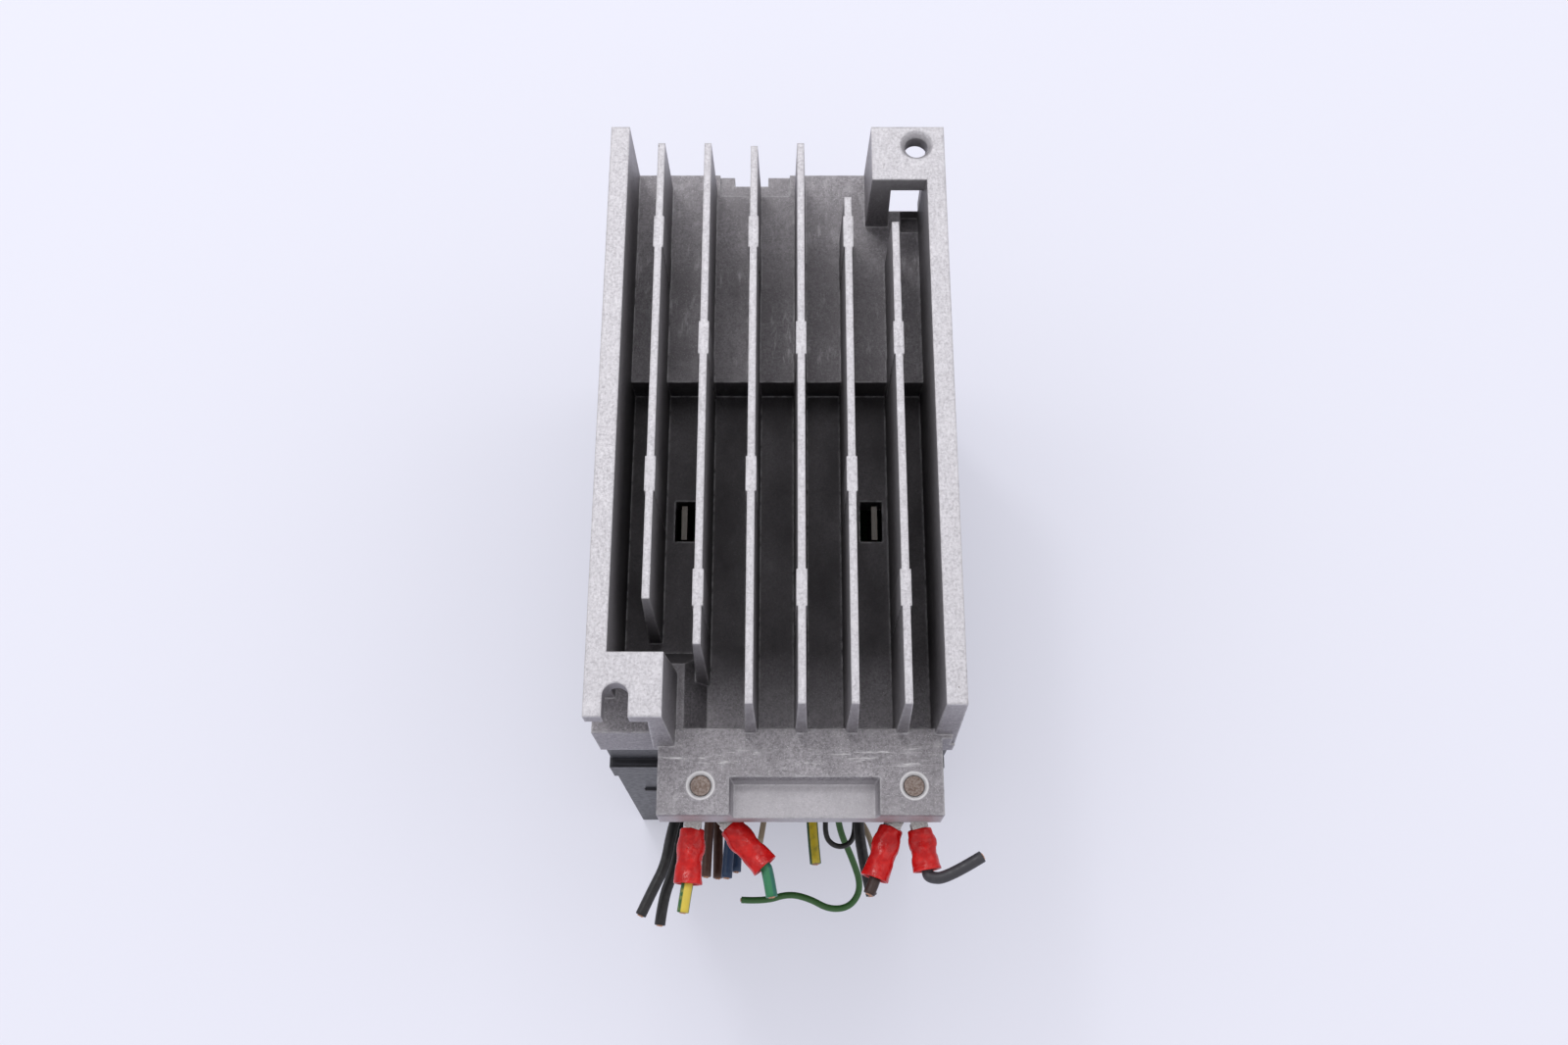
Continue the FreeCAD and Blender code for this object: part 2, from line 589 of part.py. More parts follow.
# ---- front panel with its display, keys and dial
key_names = ("run", "stop", "menu", "up", "down", "enter")
key_places = [
    (f"(KeyLeftX + {i % 3} * KeyPitch)", f"(KeyLowY + {i // 3} * KeyPitch + {i // 3})") for i in range(6)
]
display_x = ("-20", "20")
display_y = ("InnerTopY - 22", "InnerTopY - 8")
lamp_x = ("9", "13.5", "18")
key_half = "(KeySize / 2 + KeyClearance)"
panel = plate(
    "front_panel",
    ("-SideX + RidgeOut + RimWidth + 0.1", "SideX - RidgeOut - RimWidth - 0.1"),
    ("DoorTopY + 3.6", "ShellTopY - RimWidth - 0.1"), ("PanelRecess", "PanelBackZ"),
    windows=[(display_x, display_y)] + [
        ((f"{x} - {key_half}", f"{x} + {key_half}"), (f"{y} - {key_half}", f"{y} + {key_half}"))
        for x, y in key_places],
    holes=[(("DialX", "DialY"), "DialRadius + DialClearance")]
    + [((x, "InnerTopY - 5"), "1.2") for x in lamp_x],
)
posts = []
post_places = [(x, y) for x in ("-SideX + 7", "SideX - 7") for y in ("DoorTopY + 7", "InnerTopY - 5")]
for index, (x, y) in enumerate(post_places, start=1):
    posts.append(rod(f"panel_post_{index}", "Z", (x, y, "PanelBackZ - 0.5"),
        "OperatorBoardZ - PanelBackZ + 0.5", "2.4"))
post_bores = [
    rod(f"post_bore_{index}", "Z", (x, y, "PanelBackZ + 1"), "12", "1.05")
    for index, (x, y) in enumerate(post_places, start=1)
]
node("front_panel", cut("panel_with_posts", fuse("panel_solid", [panel] + posts), post_bores))
node("display_window", box("window_lens", display_x, display_y, ("PanelRecess + 0.3", "PanelBackZ + 0.4")))
node("display_module", box("digit_block", ("-18", "18"), ("InnerTopY - 21", "InnerTopY - 9"),
                           ("PanelBackZ + 0.8", "OperatorBoardZ")))
switches = []
for name, (x, y) in zip(key_names, key_places):
    half = "(KeySize / 2)"
    cap = box(f"key_{name}_cap", (f"{x} - {half}", f"{x} + {half}"), (f"{y} - {half}", f"{y} + {half}"),
              ("PanelRecess - 0.5", "PanelBackZ + 0.2"))
    skirt = box(f"key_{name}_skirt", (f"{x} - {half} - 0.8", f"{x} + {half} + 0.8"),
                (f"{y} - {half} - 0.8", f"{y} + {half} + 0.8"), ("PanelBackZ", "PanelBackZ + 0.6"))
    stem = rod(f"key_{name}_stem", "Z", (x, y, "PanelBackZ + 0.5"), "1.4", "1.5")
    node(f"key_{name}", fuse(f"key_{name}_solid", [cap, skirt, stem]))
    body = box(f"switch_{name}_body", (f"{x} - 3", f"{x} + 3"), (f"{y} - 3", f"{y} + 3"),
               ("PanelBackZ + 2.9", "OperatorBoardZ"))
    dome = rod(f"switch_{name}_dome", "Z", (x, y, "PanelBackZ + 1.9 + KeyTravel + 0.1"), "1", "1.6")
    switches.append(fuse(f"switch_{name}", [body, dome]))
node("key_switches", group("switch_set", switches))

# speed dial: knurled disc with a pointer slot, on the potentiometer's shaft
disc = rod("dial_disc", "Z", ("DialX", "DialY", "PanelRecess - 0.4"), "2.6", "DialRadius")
shaft = rod("dial_shaft", "Z", ("DialX", "DialY", "PanelRecess + 2"), "OperatorBoardZ - PanelRecess - 2.6",
    "ShaftRadius")
pointer = box("dial_pointer", ("DialX - 0.6", "DialX + 0.6"), ("DialY + 1", "DialY + DialRadius - 1"),
              ("PanelRecess - 1", "PanelRecess + 0.3"))
dial_flutes = [
    rod(f"dial_flute_{i}", "Z", (f"DialX + {math.cos(i * math.pi / 9):.5f} * (DialRadius + 0.3)",
                                 f"DialY + {math.sin(i * math.pi / 9):.5f} * (DialRadius + 0.3)",
                                 "PanelRecess - 1"), "4", "0.7")
    for i in range(18)
]
node("speed_dial", cut("dial", fuse("dial_solid", [disc, shaft]), [pointer] + dial_flutes))
pot_body = box("pot_case", ("DialX - 5", "DialX + 5"), ("DialY - 5", "DialY + 5"),
    ("PanelBackZ + 1.5", "OperatorBoardZ"))
pot_bore = rod("pot_bore", "Z", ("DialX", "DialY", "PanelBackZ"), "OperatorBoardZ - PanelBackZ - 0.4",
               "ShaftRadius + PinClearance")
node("speed_potentiometer", cut("potentiometer", pot_body, [pot_bore]))
lamps = []
for index, x in enumerate(lamp_x):
    lens = rod(f"lamp_lens_{index}", "Z", (x, "InnerTopY - 5", "PanelRecess + 0.2"), "PanelThick + 1", "1.1")
    foot = rod(f"lamp_foot_{index}", "Z", (x, "InnerTopY - 5", "PanelBackZ + 0.6"),
        "OperatorBoardZ - PanelBackZ - 0.6", "1.5")
    lamps.append(fuse(f"lamp_{index}", [lens, foot]))
node("status_lamps", group("lamp_set", lamps))

# ---- terminal door: hinged along its long side, closes flush with the recessed front
door_x = ("HingeX", "SideX - RidgeOut - RimWidth - DoorGap")
door_y = ("BaseY + 3 + DoorGap", "DoorTopY - 0.1")
leaf = plate("door_leaf", door_x, door_y, ("PanelRecess", "PanelBackZ"),
             windows=[(("SideX - 8", "SideX - 5"), ("-32", "-20"))])
hinge_roll = rod("door_roll", "Y", ("HingeX", door_y[0], "HingeZ"), f"({door_y[1]}) - ({door_y[0]})",
    "PanelThick / 2")
door_pins = rod("door_pins", "Y", ("HingeX", f"{door_y[0]} - DoorGap - PinReach", "HingeZ"),
                f"({door_y[1]}) - ({door_y[0]}) + 2 * (DoorGap + PinReach)", "HingePin")
node("terminal_door", fuse("door", [leaf, hinge_roll, door_pins]))

# ---- boards, their chips and the parts they carry
node("operator_board", plate(
    "operator_pcb", ("-BoardX + 1", "BoardX - 1"), ("DoorTopY + 5", "BoardTopY"),
        ("OperatorBoardZ", "OperatorTopZ"),
    holes=[(spot, "ScrewHole") for spot in post_places]))
panel_screws = []
for index, (x, y) in enumerate(post_places, start=1):
    head = rod(f"panel_screw_head_{index}", "Z", (x, y, "OperatorTopZ"), "1.6", "2.6")
    shank = rod(f"panel_screw_shank_{index}", "Z", (x, y, "PanelBackZ + 2"),
        "OperatorTopZ - PanelBackZ - 1", "1.0")
    panel_screws.append(fuse(f"panel_screw_{index}", [head, shank]))
node("panel_screws", group("panel_screw_set", panel_screws))
node("board_connector", box("header", ("-10", "10"), ("DoorTopY + 10", "DoorTopY + 14"),
    ("OperatorTopZ", "ControlBoardZ")))

standoff_places = [(x, y) for x in ("-SideX + 7", "SideX - 7") for y in ("6", "TopY - 24")]
node("control_board", plate(
    "control_pcb", ("-BoardX", "BoardX"), ("ControlLowY", "BoardTopY"), ("ControlBoardZ", "ControlTopZ"),
    holes=[(spot, "ScrewHole") for spot in standoff_places]))
chips = [
    box("processor", ("-9", "5"), ("28", "42"), ("ControlBoardZ - 1.6", "ControlBoardZ")),
    box("memory", ("10", "16"), ("30", "39"), ("ControlBoardZ - 1.4", "ControlBoardZ")),
    box("driver", ("-24", "-16"), ("24", "34"), ("ControlBoardZ - 1.4", "ControlBoardZ")),
    box("regulator", ("18", "25"), ("46", "54"), ("ControlBoardZ - 2.4", "ControlBoardZ")),
]
node("control_chips", group("chip_set", chips))

row_y = ("ControlLowY + 1", "ControlLowY + 10")
strip = box("control_strip", ("-BoardX + 2", "6"), row_y, ("11", "ControlBoardZ"))
strip_cuts = []
strip_screws = []
for index in range(8):
    x = f"(4 * {index} - BoardX + 5)"
    strip_cuts.append(rod(f"strip_well_{index}", "Z", (x, "ControlLowY + 6.5", "10"), "4", "1.4"))
    strip_cuts.append(box(f"strip_entry_{index}", (f"{x} - 1.2", f"{x} + 1.2"),
        ("ControlLowY", "ControlLowY + 5"), ("17", "20")))
    screw = rod(f"strip_screw_{index}_solid", "Z", (x, "ControlLowY + 6.5", "12"), "2", "1.25")
    slot = box(f"strip_screw_{index}_slot", (f"{x} - 2", f"{x} + 2"),
        ("ControlLowY + 6.25", "ControlLowY + 6.75"), ("11", "12.6"))
    strip_screws.append(cut(f"strip_screw_{index}", screw, [slot]))
node("control_terminals", cut("control_strip_cut", strip, strip_cuts))
node("control_terminal_screws", group("strip_screw_set", strip_screws))

# mode switch: two-position slider beside the control terminals
switch_case = box("mode_case", ("9", "17"), ("ControlLowY + 2", "ControlLowY + 6"), ("20", "ControlBoardZ"))
switch_slot = box("mode_slot", ("10", "16"), ("ControlLowY + 3", "ControlLowY + 5"), ("19", "22.5"))
node("mode_switch_body", cut("mode_body", switch_case, [switch_slot]))
node("mode_switch_slider", box("mode_slider", ("10.1", "13.1"),
    ("ControlLowY + 3.05", "ControlLowY + 4.95"), ("18.6", "22.4")))
node("output_relay", box("relay_case", ("SideX - 18", "SideX - 6"), ("-17", "2"), ("10", "ControlBoardZ")))

standoffs = []
for index, (x, y) in enumerate(standoff_places, start=1):
    post = rod(f"standoff_{index}_body", "Z", (x, y, "ControlTopZ"), "PowerBoardZ - ControlTopZ", "2.6")
    head = rod(f"standoff_{index}_head", "Z", (x, y, "ControlBoardZ - 1.6"), "1.6", "2.8")
    tail = rod(f"standoff_{index}_tail", "Z", (x, y, "ControlBoardZ - 1"),
        "PowerTopZ + 1.4 - ControlBoardZ + 1", "1.4")
    nut = rod(f"standoff_{index}_nut", "Z", (x, y, "PowerTopZ"), "1.6", "2.8")
    standoffs.append(fuse(f"standoff_{index}", [post, head, tail, nut]))
node("board_standoffs", group("standoff_set", standoffs))

node("power_board", plate(
    "power_pcb", ("-BoardX", "BoardX"), ("PowerLowY - 17", "BoardTopY"), ("PowerBoardZ", "PowerTopZ"),
    holes=[(spot, "ScrewHole") for spot in standoff_places + boss_places]))
board_screws = []
for index, (x, y) in enumerate(boss_places, start=1):
    head = rod(f"board_screw_head_{index}", "Z", (x, y, "PowerBoardZ - 1.8"), "1.8", "2.8")
    shank = rod(f"board_screw_shank_{index}", "Z", (x, y, "PowerBoardZ - 1"), "BoardThick + 8", "1.2")
    board_screws.append(fuse(f"board_screw_{index}", [head, shank]))
node("board_screws", group("board_screw_set", board_screws))

capacitors = []
for index, (x, y) in enumerate((("-13", "47"), ("12", "47"))):
    can = rod(f"can_{index}", "Z", (x, y, "ControlTopZ + 2"), "PowerBoardZ - ControlTopZ - 2", "11")
    capacitors.append(can)
node("bus_capacitors", group("capacitor_pair", capacitors))
node("charge_relay", box("charge_relay_case", ("14", "29"), ("12", "24"),
    ("PowerBoardZ - 15", "PowerBoardZ")))
choke = doc.addObject("Part::Torus", "choke_ring")
bind(choke, "Radius1", "7")
bind(choke, "Radius2", "3.5")
place(choke, "-18", "-8", "PowerBoardZ - 4.5")
choke_base = box("choke_base", ("-26", "-10"), ("-16", "0"), ("PowerBoardZ - 2", "PowerBoardZ"))
node("filter_choke", fuse("choke", [choke, choke_base]))
films = [
    box("film_a", ("-25", "-9"), ("8", "16"), ("PowerBoardZ - 15", "PowerBoardZ")),
    box("film_b", ("-25", "-9"), ("20", "28"), ("PowerBoardZ - 15", "PowerBoardZ")),
]
node("film_capacitors", group("film_pair", films))
core = box("transformer_core", ("-4", "16"), ("-18", "2"), ("PowerBoardZ - 16", "PowerBoardZ"))
core_gap = [
    box("transformer_gap_a", ("-5", "17"), ("-18", "-15"), ("PowerBoardZ - 13", "PowerBoardZ - 3")),
    box("transformer_gap_b", ("-5", "17"), ("-1", "2"), ("PowerBoardZ - 13", "PowerBoardZ - 3")),
]
node("switching_transformer", cut("transformer", core, core_gap))

# power terminals in two rows: wires enter from the end, screws face the front
entry_x = [f"({index - 3.5} * TerminalPitch)" for index in range(8)]
rail = box("power_rail", ("-TerminalX - 3.2", "TerminalX + 3.2"), ("TerminalY", "TerminalBackY"),
           ("WireRowLow - 8", "PowerBoardZ"))
rail_cuts = []
rail_screws = []
for index, x in enumerate(entry_x):
    for level in ("Low", "High"):
        rail_cuts.append(rod(f"entry_{level}_{index}", "Y", (x, "TerminalY - 1", f"WireRow{level}"),
                             "EntryDepth + 1", "EntryRadius"))
    rail_cuts.append(rod(f"rail_well_{index}", "Z", (x, "TerminalY + 6", "WireRowLow - 9"), "5", "2"))
    screw = rod(f"rail_screw_{index}_solid", "Z", (x, "TerminalY + 6", "WireRowLow - 6.5"), "2.5", "1.85")
    slot = box(f"rail_screw_{index}_slot", (f"{x} - 2.4", f"{x} + 2.4"),
        ("TerminalY + 5.6", "TerminalY + 6.4"),
               ("WireRowLow - 8", "WireRowLow - 5.6"))
    rail_screws.append(cut(f"rail_screw_{index}", screw, [slot]))
node("power_terminals", cut("power_rail_cut", rail, rail_cuts))
node("power_terminal_screws", group("rail_screw_set", rail_screws))

# power module and rectifier against the heatsink
module = box("module_case", ("-16.5", "16.5"), ("-24", "5"), ("ModuleZ", "PadZ"))
pins = [
    box(f"module_pin_{side}_{i}", (f"{3 * i - 14}", f"{3 * i - 13.2}"), (y, f"{y} + 0.6"),
        ("PowerTopZ", "ModuleZ + 1"))
    for side, y in (("a", "-23.5"), ("b", "4")) for i in range(10)
]
node("power_module", fuse("module", [module] + pins))
node("thermal_pad", box("pad", ("-16.5", "16.5"), ("-24", "5"), ("PadZ", "SplitZ")))
bridge = box("bridge_case", ("-2", "22"), ("10", "20"), ("SplitZ - 5", "SplitZ"))
legs = [
    box(f"bridge_leg_{i}", (f"{6 * i}", f"{6 * i + 1}"), ("12", "12.8"),
        ("PowerTopZ", "SplitZ - 4.5")) for i in range(4)
]
node("rectifier_bridge", fuse("bridge", [bridge] + legs))

# ---- wires: hand-chosen routes in millimetres, from the terminals out of the wiring mouth
WIRES = {
    "black_wire_a": (1.2, ((-19.25, -41, 57), (-19.3, -55, 57.0), (-21.4, -62.5, 58.5), (-23.4, -70, 60.5),
                           (-24.3, -77, 61.5), (-27.0, -82.5, 62), (-29.4, -87.8, 62))),
    "black_wire_b": (1.2, ((-19.25, -41, 50.5), (-19.3, -55.5, 50.5), (-20.8, -63.5, 53), (-22.2, -71, 55.5),
                           (-23.0, -78, 56.5), (-25.0, -83.5, 57), (-25.6, -89.4, 57))),
    "brown_wire_a": (1.1, ((-13.75, -41, 57), (-13.8, -54, 57), (-14.6, -62, 57.6), (-15.4, -70.5, 58.2),
                           (-15.6, -79.2, 58.6))),
    "brown_wire_b": (1.1, ((-13.75, -41, 50.5), (-13.7, -55, 50.5), (-13.5, -63, 52.0), (-13.3, -71, 53.6),
                           (-13.2, -79, 54.4))),
    "blue_wire_a": (1.2, ((-8.25, -41, 57), (-8.3, -54, 57), (-9.3, -62, 57.3), (-10.6, -70.5, 57.8),
                          (-11.1, -79.4, 58.2))),
    "blue_wire_b": (1.1, ((-8.25, -41, 50.5), (-8.2, -54, 50.5), (-8.5, -62, 51.2), (-9.0, -69.5, 52.2),
                          (-9.2, -77.4, 52.8))),
    "beige_wire": (0.65, ((-2.75, -41, 57), (-2.7, -49.5, 57.1), (-2.3, -57.5, 56.6), (-2.5, -64.5, 57.3),
                          (-3.8, -71.8, 58.3))),
    "earth_wire": (1.25, ((8.25, -41, 57), (8.2, -53, 57), (7.7, -60.5, 57.4), (7.7, -68, 58.0),
                          (8.5, -76.4, 58.5))),
    "jumper_loop": (0.6, ((13.75, -41, 57), (13.7, -52, 56.9), (12.2, -58.5, 55.9), (10.9, -64.5, 54.6),
                          (10.8, -69.7, 53.4), (12.75, -71.7, 52.7), (15.45, -71.7, 52.0),
                              (17.4, -69.7, 51.4),
                          (17.7, -64.6, 51.0), (19.1, -57.5, 50.6), (19.25, -49.5, 50.5), (19.3, -41, 50.6))),
    "green_wire": (0.75, ((13.75, -41, 50.5), (13.7, -51.5, 50.4), (13.4, -59.5, 48.6), (14.2, -67.0, 45.6),
                          (17.2, -73.0, 43.4), (19.4, -79.5, 42.4), (16.9, -83.9, 42.0), (12.0, -84.6, 42),
                          (7.2, -82.0, 42), (2.4, -81.0, 42), (-2.9, -82.7, 42), (-8.3, -82.4, 42))),
    "black_wire_c": (1.2, ((19.25, -41, 57), (19.2, -53, 57), (18.4, -60.5, 57.6), (18.0, -68, 58.8),
                           (19.0, -76, 60), (20.6, -83.4, 60.5))),
    "tan_wire": (0.65, ((2.75, -41, 57), (2.8, -54, 57), (5.6, -59.6, 55.4), (11.0, -62.8, 53.4),
                        (16.6, -64.6, 54.6), (20.2, -68.2, 56.2), (21.4, -73.2, 56.6))),
}


for name, (radius, route) in WIRES.items():
    feature(name, [tube(name, radius, route)])

doc.recompute()
for thing in doc.Objects:
    if "Invalid" in thing.State or "Error" in thing.State:
        raise RuntimeError(f"{thing.Name} ({thing.Label}) is {thing.State}")
os.makedirs("parts", exist_ok=True)
for name, shape in nodes.items():
    solid = shape.Shape
    if solid.isNull() or not solid.isValid() or not solid.Solids:
        raise RuntimeError(f"{name} has no valid shape")
    solid.exportStep(f"parts/{name}.step")
    corner = solid.BoundBox
    print(f"{name}: {len(solid.Solids)} solids, volume {solid.Volume:.0f}, "
          f"X {corner.XMin:.1f}..{corner.XMax:.1f} Y {corner.YMin:.1f}..{corner.YMax:.1f} "
          f"Z {corner.ZMin:.1f}..{corner.ZMax:.1f}")
print(len(nodes), "nodes")
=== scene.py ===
"""Compact frequency drive lying on its front, seen on its finned back and its wiring end."""

import json
import math

import bmesh
import bpy
from mathutils import Matrix, Vector

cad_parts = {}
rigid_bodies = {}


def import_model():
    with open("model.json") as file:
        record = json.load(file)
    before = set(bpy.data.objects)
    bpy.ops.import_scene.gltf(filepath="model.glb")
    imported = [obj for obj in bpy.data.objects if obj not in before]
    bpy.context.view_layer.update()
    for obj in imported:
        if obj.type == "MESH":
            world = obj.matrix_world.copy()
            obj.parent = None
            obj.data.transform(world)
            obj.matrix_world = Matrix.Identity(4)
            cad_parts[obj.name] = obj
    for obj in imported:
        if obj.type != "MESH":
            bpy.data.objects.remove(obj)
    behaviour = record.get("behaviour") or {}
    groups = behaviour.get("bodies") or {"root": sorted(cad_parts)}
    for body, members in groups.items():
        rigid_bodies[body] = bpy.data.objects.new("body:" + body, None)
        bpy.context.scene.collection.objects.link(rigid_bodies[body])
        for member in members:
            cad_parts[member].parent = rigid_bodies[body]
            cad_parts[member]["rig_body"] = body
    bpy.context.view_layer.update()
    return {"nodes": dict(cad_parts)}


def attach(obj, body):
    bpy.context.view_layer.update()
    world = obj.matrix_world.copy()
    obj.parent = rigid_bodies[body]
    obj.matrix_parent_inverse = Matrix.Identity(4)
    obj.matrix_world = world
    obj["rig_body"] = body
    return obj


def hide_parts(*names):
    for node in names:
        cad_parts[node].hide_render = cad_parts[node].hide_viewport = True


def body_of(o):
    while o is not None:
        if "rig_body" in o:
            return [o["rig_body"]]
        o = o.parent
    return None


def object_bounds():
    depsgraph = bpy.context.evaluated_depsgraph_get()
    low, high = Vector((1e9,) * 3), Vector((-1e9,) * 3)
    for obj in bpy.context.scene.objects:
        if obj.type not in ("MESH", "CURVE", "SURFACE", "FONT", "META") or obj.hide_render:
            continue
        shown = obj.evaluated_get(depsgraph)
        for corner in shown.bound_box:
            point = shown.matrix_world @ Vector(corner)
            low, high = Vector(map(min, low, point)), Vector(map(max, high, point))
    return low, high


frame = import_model()
MM = 0.001
scene = bpy.context.scene
scene.view_settings.view_transform = "Standard"

# ---- View, table and light -------------------------------------------------------------------
# A camera close above the wiring end, a plain pale table, and soft light from above and from
# both sides, with one small lamp for the bright edges.
camera_data = bpy.data.cameras.new("view_camera")
camera_data.sensor_width = 36
camera_data.lens = 33.7
camera_data.clip_start = 0.01
camera = bpy.data.objects.new("view_camera", camera_data)
camera_place = (0.00219, -0.11889, 0.38823)
tilt, pan, roll = (math.radians(angle) for angle in (20.434, 0.128, 0.0465))
camera.matrix_world = (
    Matrix.Translation(camera_place)
    @ Matrix.Rotation(tilt, 4, "X") @ Matrix.Rotation(pan, 4, "Y") @ Matrix.Rotation(roll, 4, "Z")
)
scene.collection.objects.link(camera)
scene.camera = camera


def new_object(name, mesh):
    thing = bpy.data.objects.new(name, mesh)
    scene.collection.objects.link(thing)
    return thing


def new_material(name, colour, roughness, metallic=0.0, **sockets):
    """A material whose even values sit on the shader's own sockets."""
    finish = bpy.data.materials.new(name)
    finish.use_nodes = True
    shader = finish.node_tree.nodes["Principled BSDF"]
    shader.inputs["Base Color"].default_value = (*colour, 1)
    shader.inputs["Roughness"].default_value = roughness
    shader.inputs["Metallic"].default_value = metallic
    for socket, value in sockets.items():
        shader.inputs[socket.replace("_", " ")].default_value = value
    return finish, finish.node_tree, shader


table_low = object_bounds()[0][2]
table_mesh = bpy.data.meshes.new("table")
half = 3.0
table_mesh.from_pydata(
    [(x, y, table_low) for x, y in ((-half, -half), (half, -half), (half, half), (-half, half))],
    [], [(0, 1, 2, 3)])
table = new_object("table", table_mesh)
table_finish, tree, shader = new_material("pale_table", (0.50, 0.502, 0.565), 0.8, Specular_IOR_Level=0.2)
shader.inputs["Emission Color"].default_value = (0.95, 0.955, 1.07, 1)
shader.inputs["Emission Strength"].default_value = 0.29
table_mesh.materials.append(table_finish)

world = bpy.data.worlds.new("studio")
scene.world = world
world.use_nodes = True
background = world.node_tree.nodes["Background"]
background.inputs["Color"].default_value = (0.97, 0.97, 1.0, 1)
background.inputs["Strength"].default_value = 0.82


def soft_lamp(name, place, aim, size, power):
    data = bpy.data.lights.new(name, "AREA")
    data.size = size
    data.energy = power
    lamp = bpy.data.objects.new(name, data)
    direction = Vector(aim) - Vector(place)
    lamp.matrix_world = Matrix.Translation(place) @ direction.to_track_quat("-Z", "Y").to_matrix().to_4x4()
    scene.collection.objects.link(lamp)


soft_lamp("top_softbox", (-0.15, 0.85, 1.25), (0, 0, 0.05), 1.0, 5.4)
soft_lamp("key_lamp", (-0.35, 0.55, 1.2), (0, 0, 0.08), 0.12, 1.5)
soft_lamp("left_softbox", (-0.8, 0.1, 1.15), (-0.1, 0, 0.05), 0.8, 1.6)
soft_lamp("right_softbox", (0.95, 0.1, 1.2), (0.2, 0, 0.05), 0.9, 2.2)

# ---- Wires -----------------------------------------------------------------------------------
# Stranded copper wires with PVC insulation, from the power terminals out of the wiring mouth. Each
# is cut off short and ends in bare strands, except the jumper, which loops back in.


def object_coordinates(tree, stretch=(1, 1, 1)):
    """The object's own coordinates, in millimetres, scaled per axis."""
    coordinates = tree.nodes.new("ShaderNodeTexCoord")
    mapping = tree.nodes.new("ShaderNodeMapping")
    mapping.inputs["Scale"].default_value = [1000 * value for value in stretch]
    tree.links.new(coordinates.outputs["Object"], mapping.inputs["Vector"])
    return mapping.outputs["Vector"]


def noise(tree, size_mm, detail=3, stretch=(1, 1, 1), rough=0.5):
    """Noise with features of about size_mm."""
    texture = tree.nodes.new("ShaderNodeTexNoise")
    texture.inputs["Scale"].default_value = 1 / size_mm
    texture.inputs["Detail"].default_value = detail
    texture.inputs["Roughness"].default_value = rough
    tree.links.new(object_coordinates(tree, stretch), texture.inputs["Vector"])
    return texture.outputs["Fac"]


def ranged(tree, value, low, high, out_low=0.0, out_high=1.0):
    """value from low..high to out_low..out_high, clamped."""
    node = tree.nodes.new("ShaderNodeMapRange")
    for socket, number in zip(("From Min", "From Max", "To Min", "To Max"), (low, high, out_low, out_high)):
        node.inputs[socket].default_value = number
    tree.links.new(value, node.inputs["Value"])
    return node.outputs["Result"]


def arithmetic(tree, operation, a, b=0):
    """The result of a Math node on numbers or sockets."""
    node = tree.nodes.new("ShaderNodeMath")
    node.operation = operation
    for socket, value in zip(node.inputs, (a, b)):
        if isinstance(value, (int, float)):
            socket.default_value = value
        else:
            tree.links.new(value, socket)
    return node.outputs["Value"]


def blended(tree, factor, first, second):
    """first where factor is 0 and second where it is 1; colours or sockets."""
    node = tree.nodes.new("ShaderNodeMix")
    node.data_type = "RGBA"
    colours = [socket for socket in node.inputs if socket.type == "RGBA"]
    for socket, value in zip([node.inputs["Factor"]] + colours, (factor, first, second)):
        if isinstance(value, (tuple, list)):
            socket.default_value = (*value, 1)
        elif isinstance(value, (int, float)):
            socket.default_value = value
        else:
            tree.links.new(value, socket)
    return next(socket for socket in node.outputs if socket.type == "RGBA")


def raise_surface(tree, shader, height, depth_mm, strength=1.0):
    """Bump from a height that runs from 0 to 1, added to what the shader has already."""
    node = tree.nodes.new("ShaderNodeBump")
    node.inputs["Distance"].default_value = depth_mm * MM
    node.inputs["Strength"].default_value = strength
    tree.links.new(height, node.inputs["Height"])
    if shader.inputs["Normal"].links:
        tree.links.new(shader.inputs["Normal"].links[0].from_socket, node.inputs["Normal"])
    tree.links.new(node.outputs["Normal"], shader.inputs["Normal"])


def insulation(name, colour, worn, stripe=None, phase=0.0):
    """Satin PVC: a little dust and rubbing, and a second colour in strips along striped wire."""
    finish, tree, shader = new_material(name, colour, 0.42, Specular_IOR_Level=0.45)
    base = colour
    if stripe:
        around = tree.nodes.new("ShaderNodeUVMap")
        around.uv_map = "around"
        split = tree.nodes.new("ShaderNodeSeparateXYZ")
        tree.links.new(around.outputs["UV"], split.inputs[0])
        share = arithmetic(tree, "PINGPONG", arithmetic(tree, "ADD", split.outputs["Y"], phase), 0.25)
        base = blended(tree, ranged(tree, share, 0.115, 0.135), colour, stripe)
    rubbed = ranged(tree, noise(tree, 1.4, 5, rough=0.65), 0.5, 0.75, 0.0, 0.55)
    tree.links.new(blended(tree, rubbed, base, worn), shader.inputs["Base Color"])
    tree.links.new(ranged(tree, noise(tree, 0.8, 4), 0.3, 0.7, 0.34, 0.55), shader.inputs["Roughness"])
    raise_surface(tree, shader, noise(tree, 0.5, 3), 0.02, 0.6)
    return finish


copper, tree, shader = new_material("bare_copper", (0.62, 0.33, 0.2), 0.35, 1.0)
tree.links.new(
    blended(tree, noise(tree, 0.3, 3), (0.66, 0.36, 0.22), (0.4, 0.24, 0.17)), shader.inputs["Base Color"])
raise_surface(tree, shader, noise(tree, 0.12, 2), 0.02)

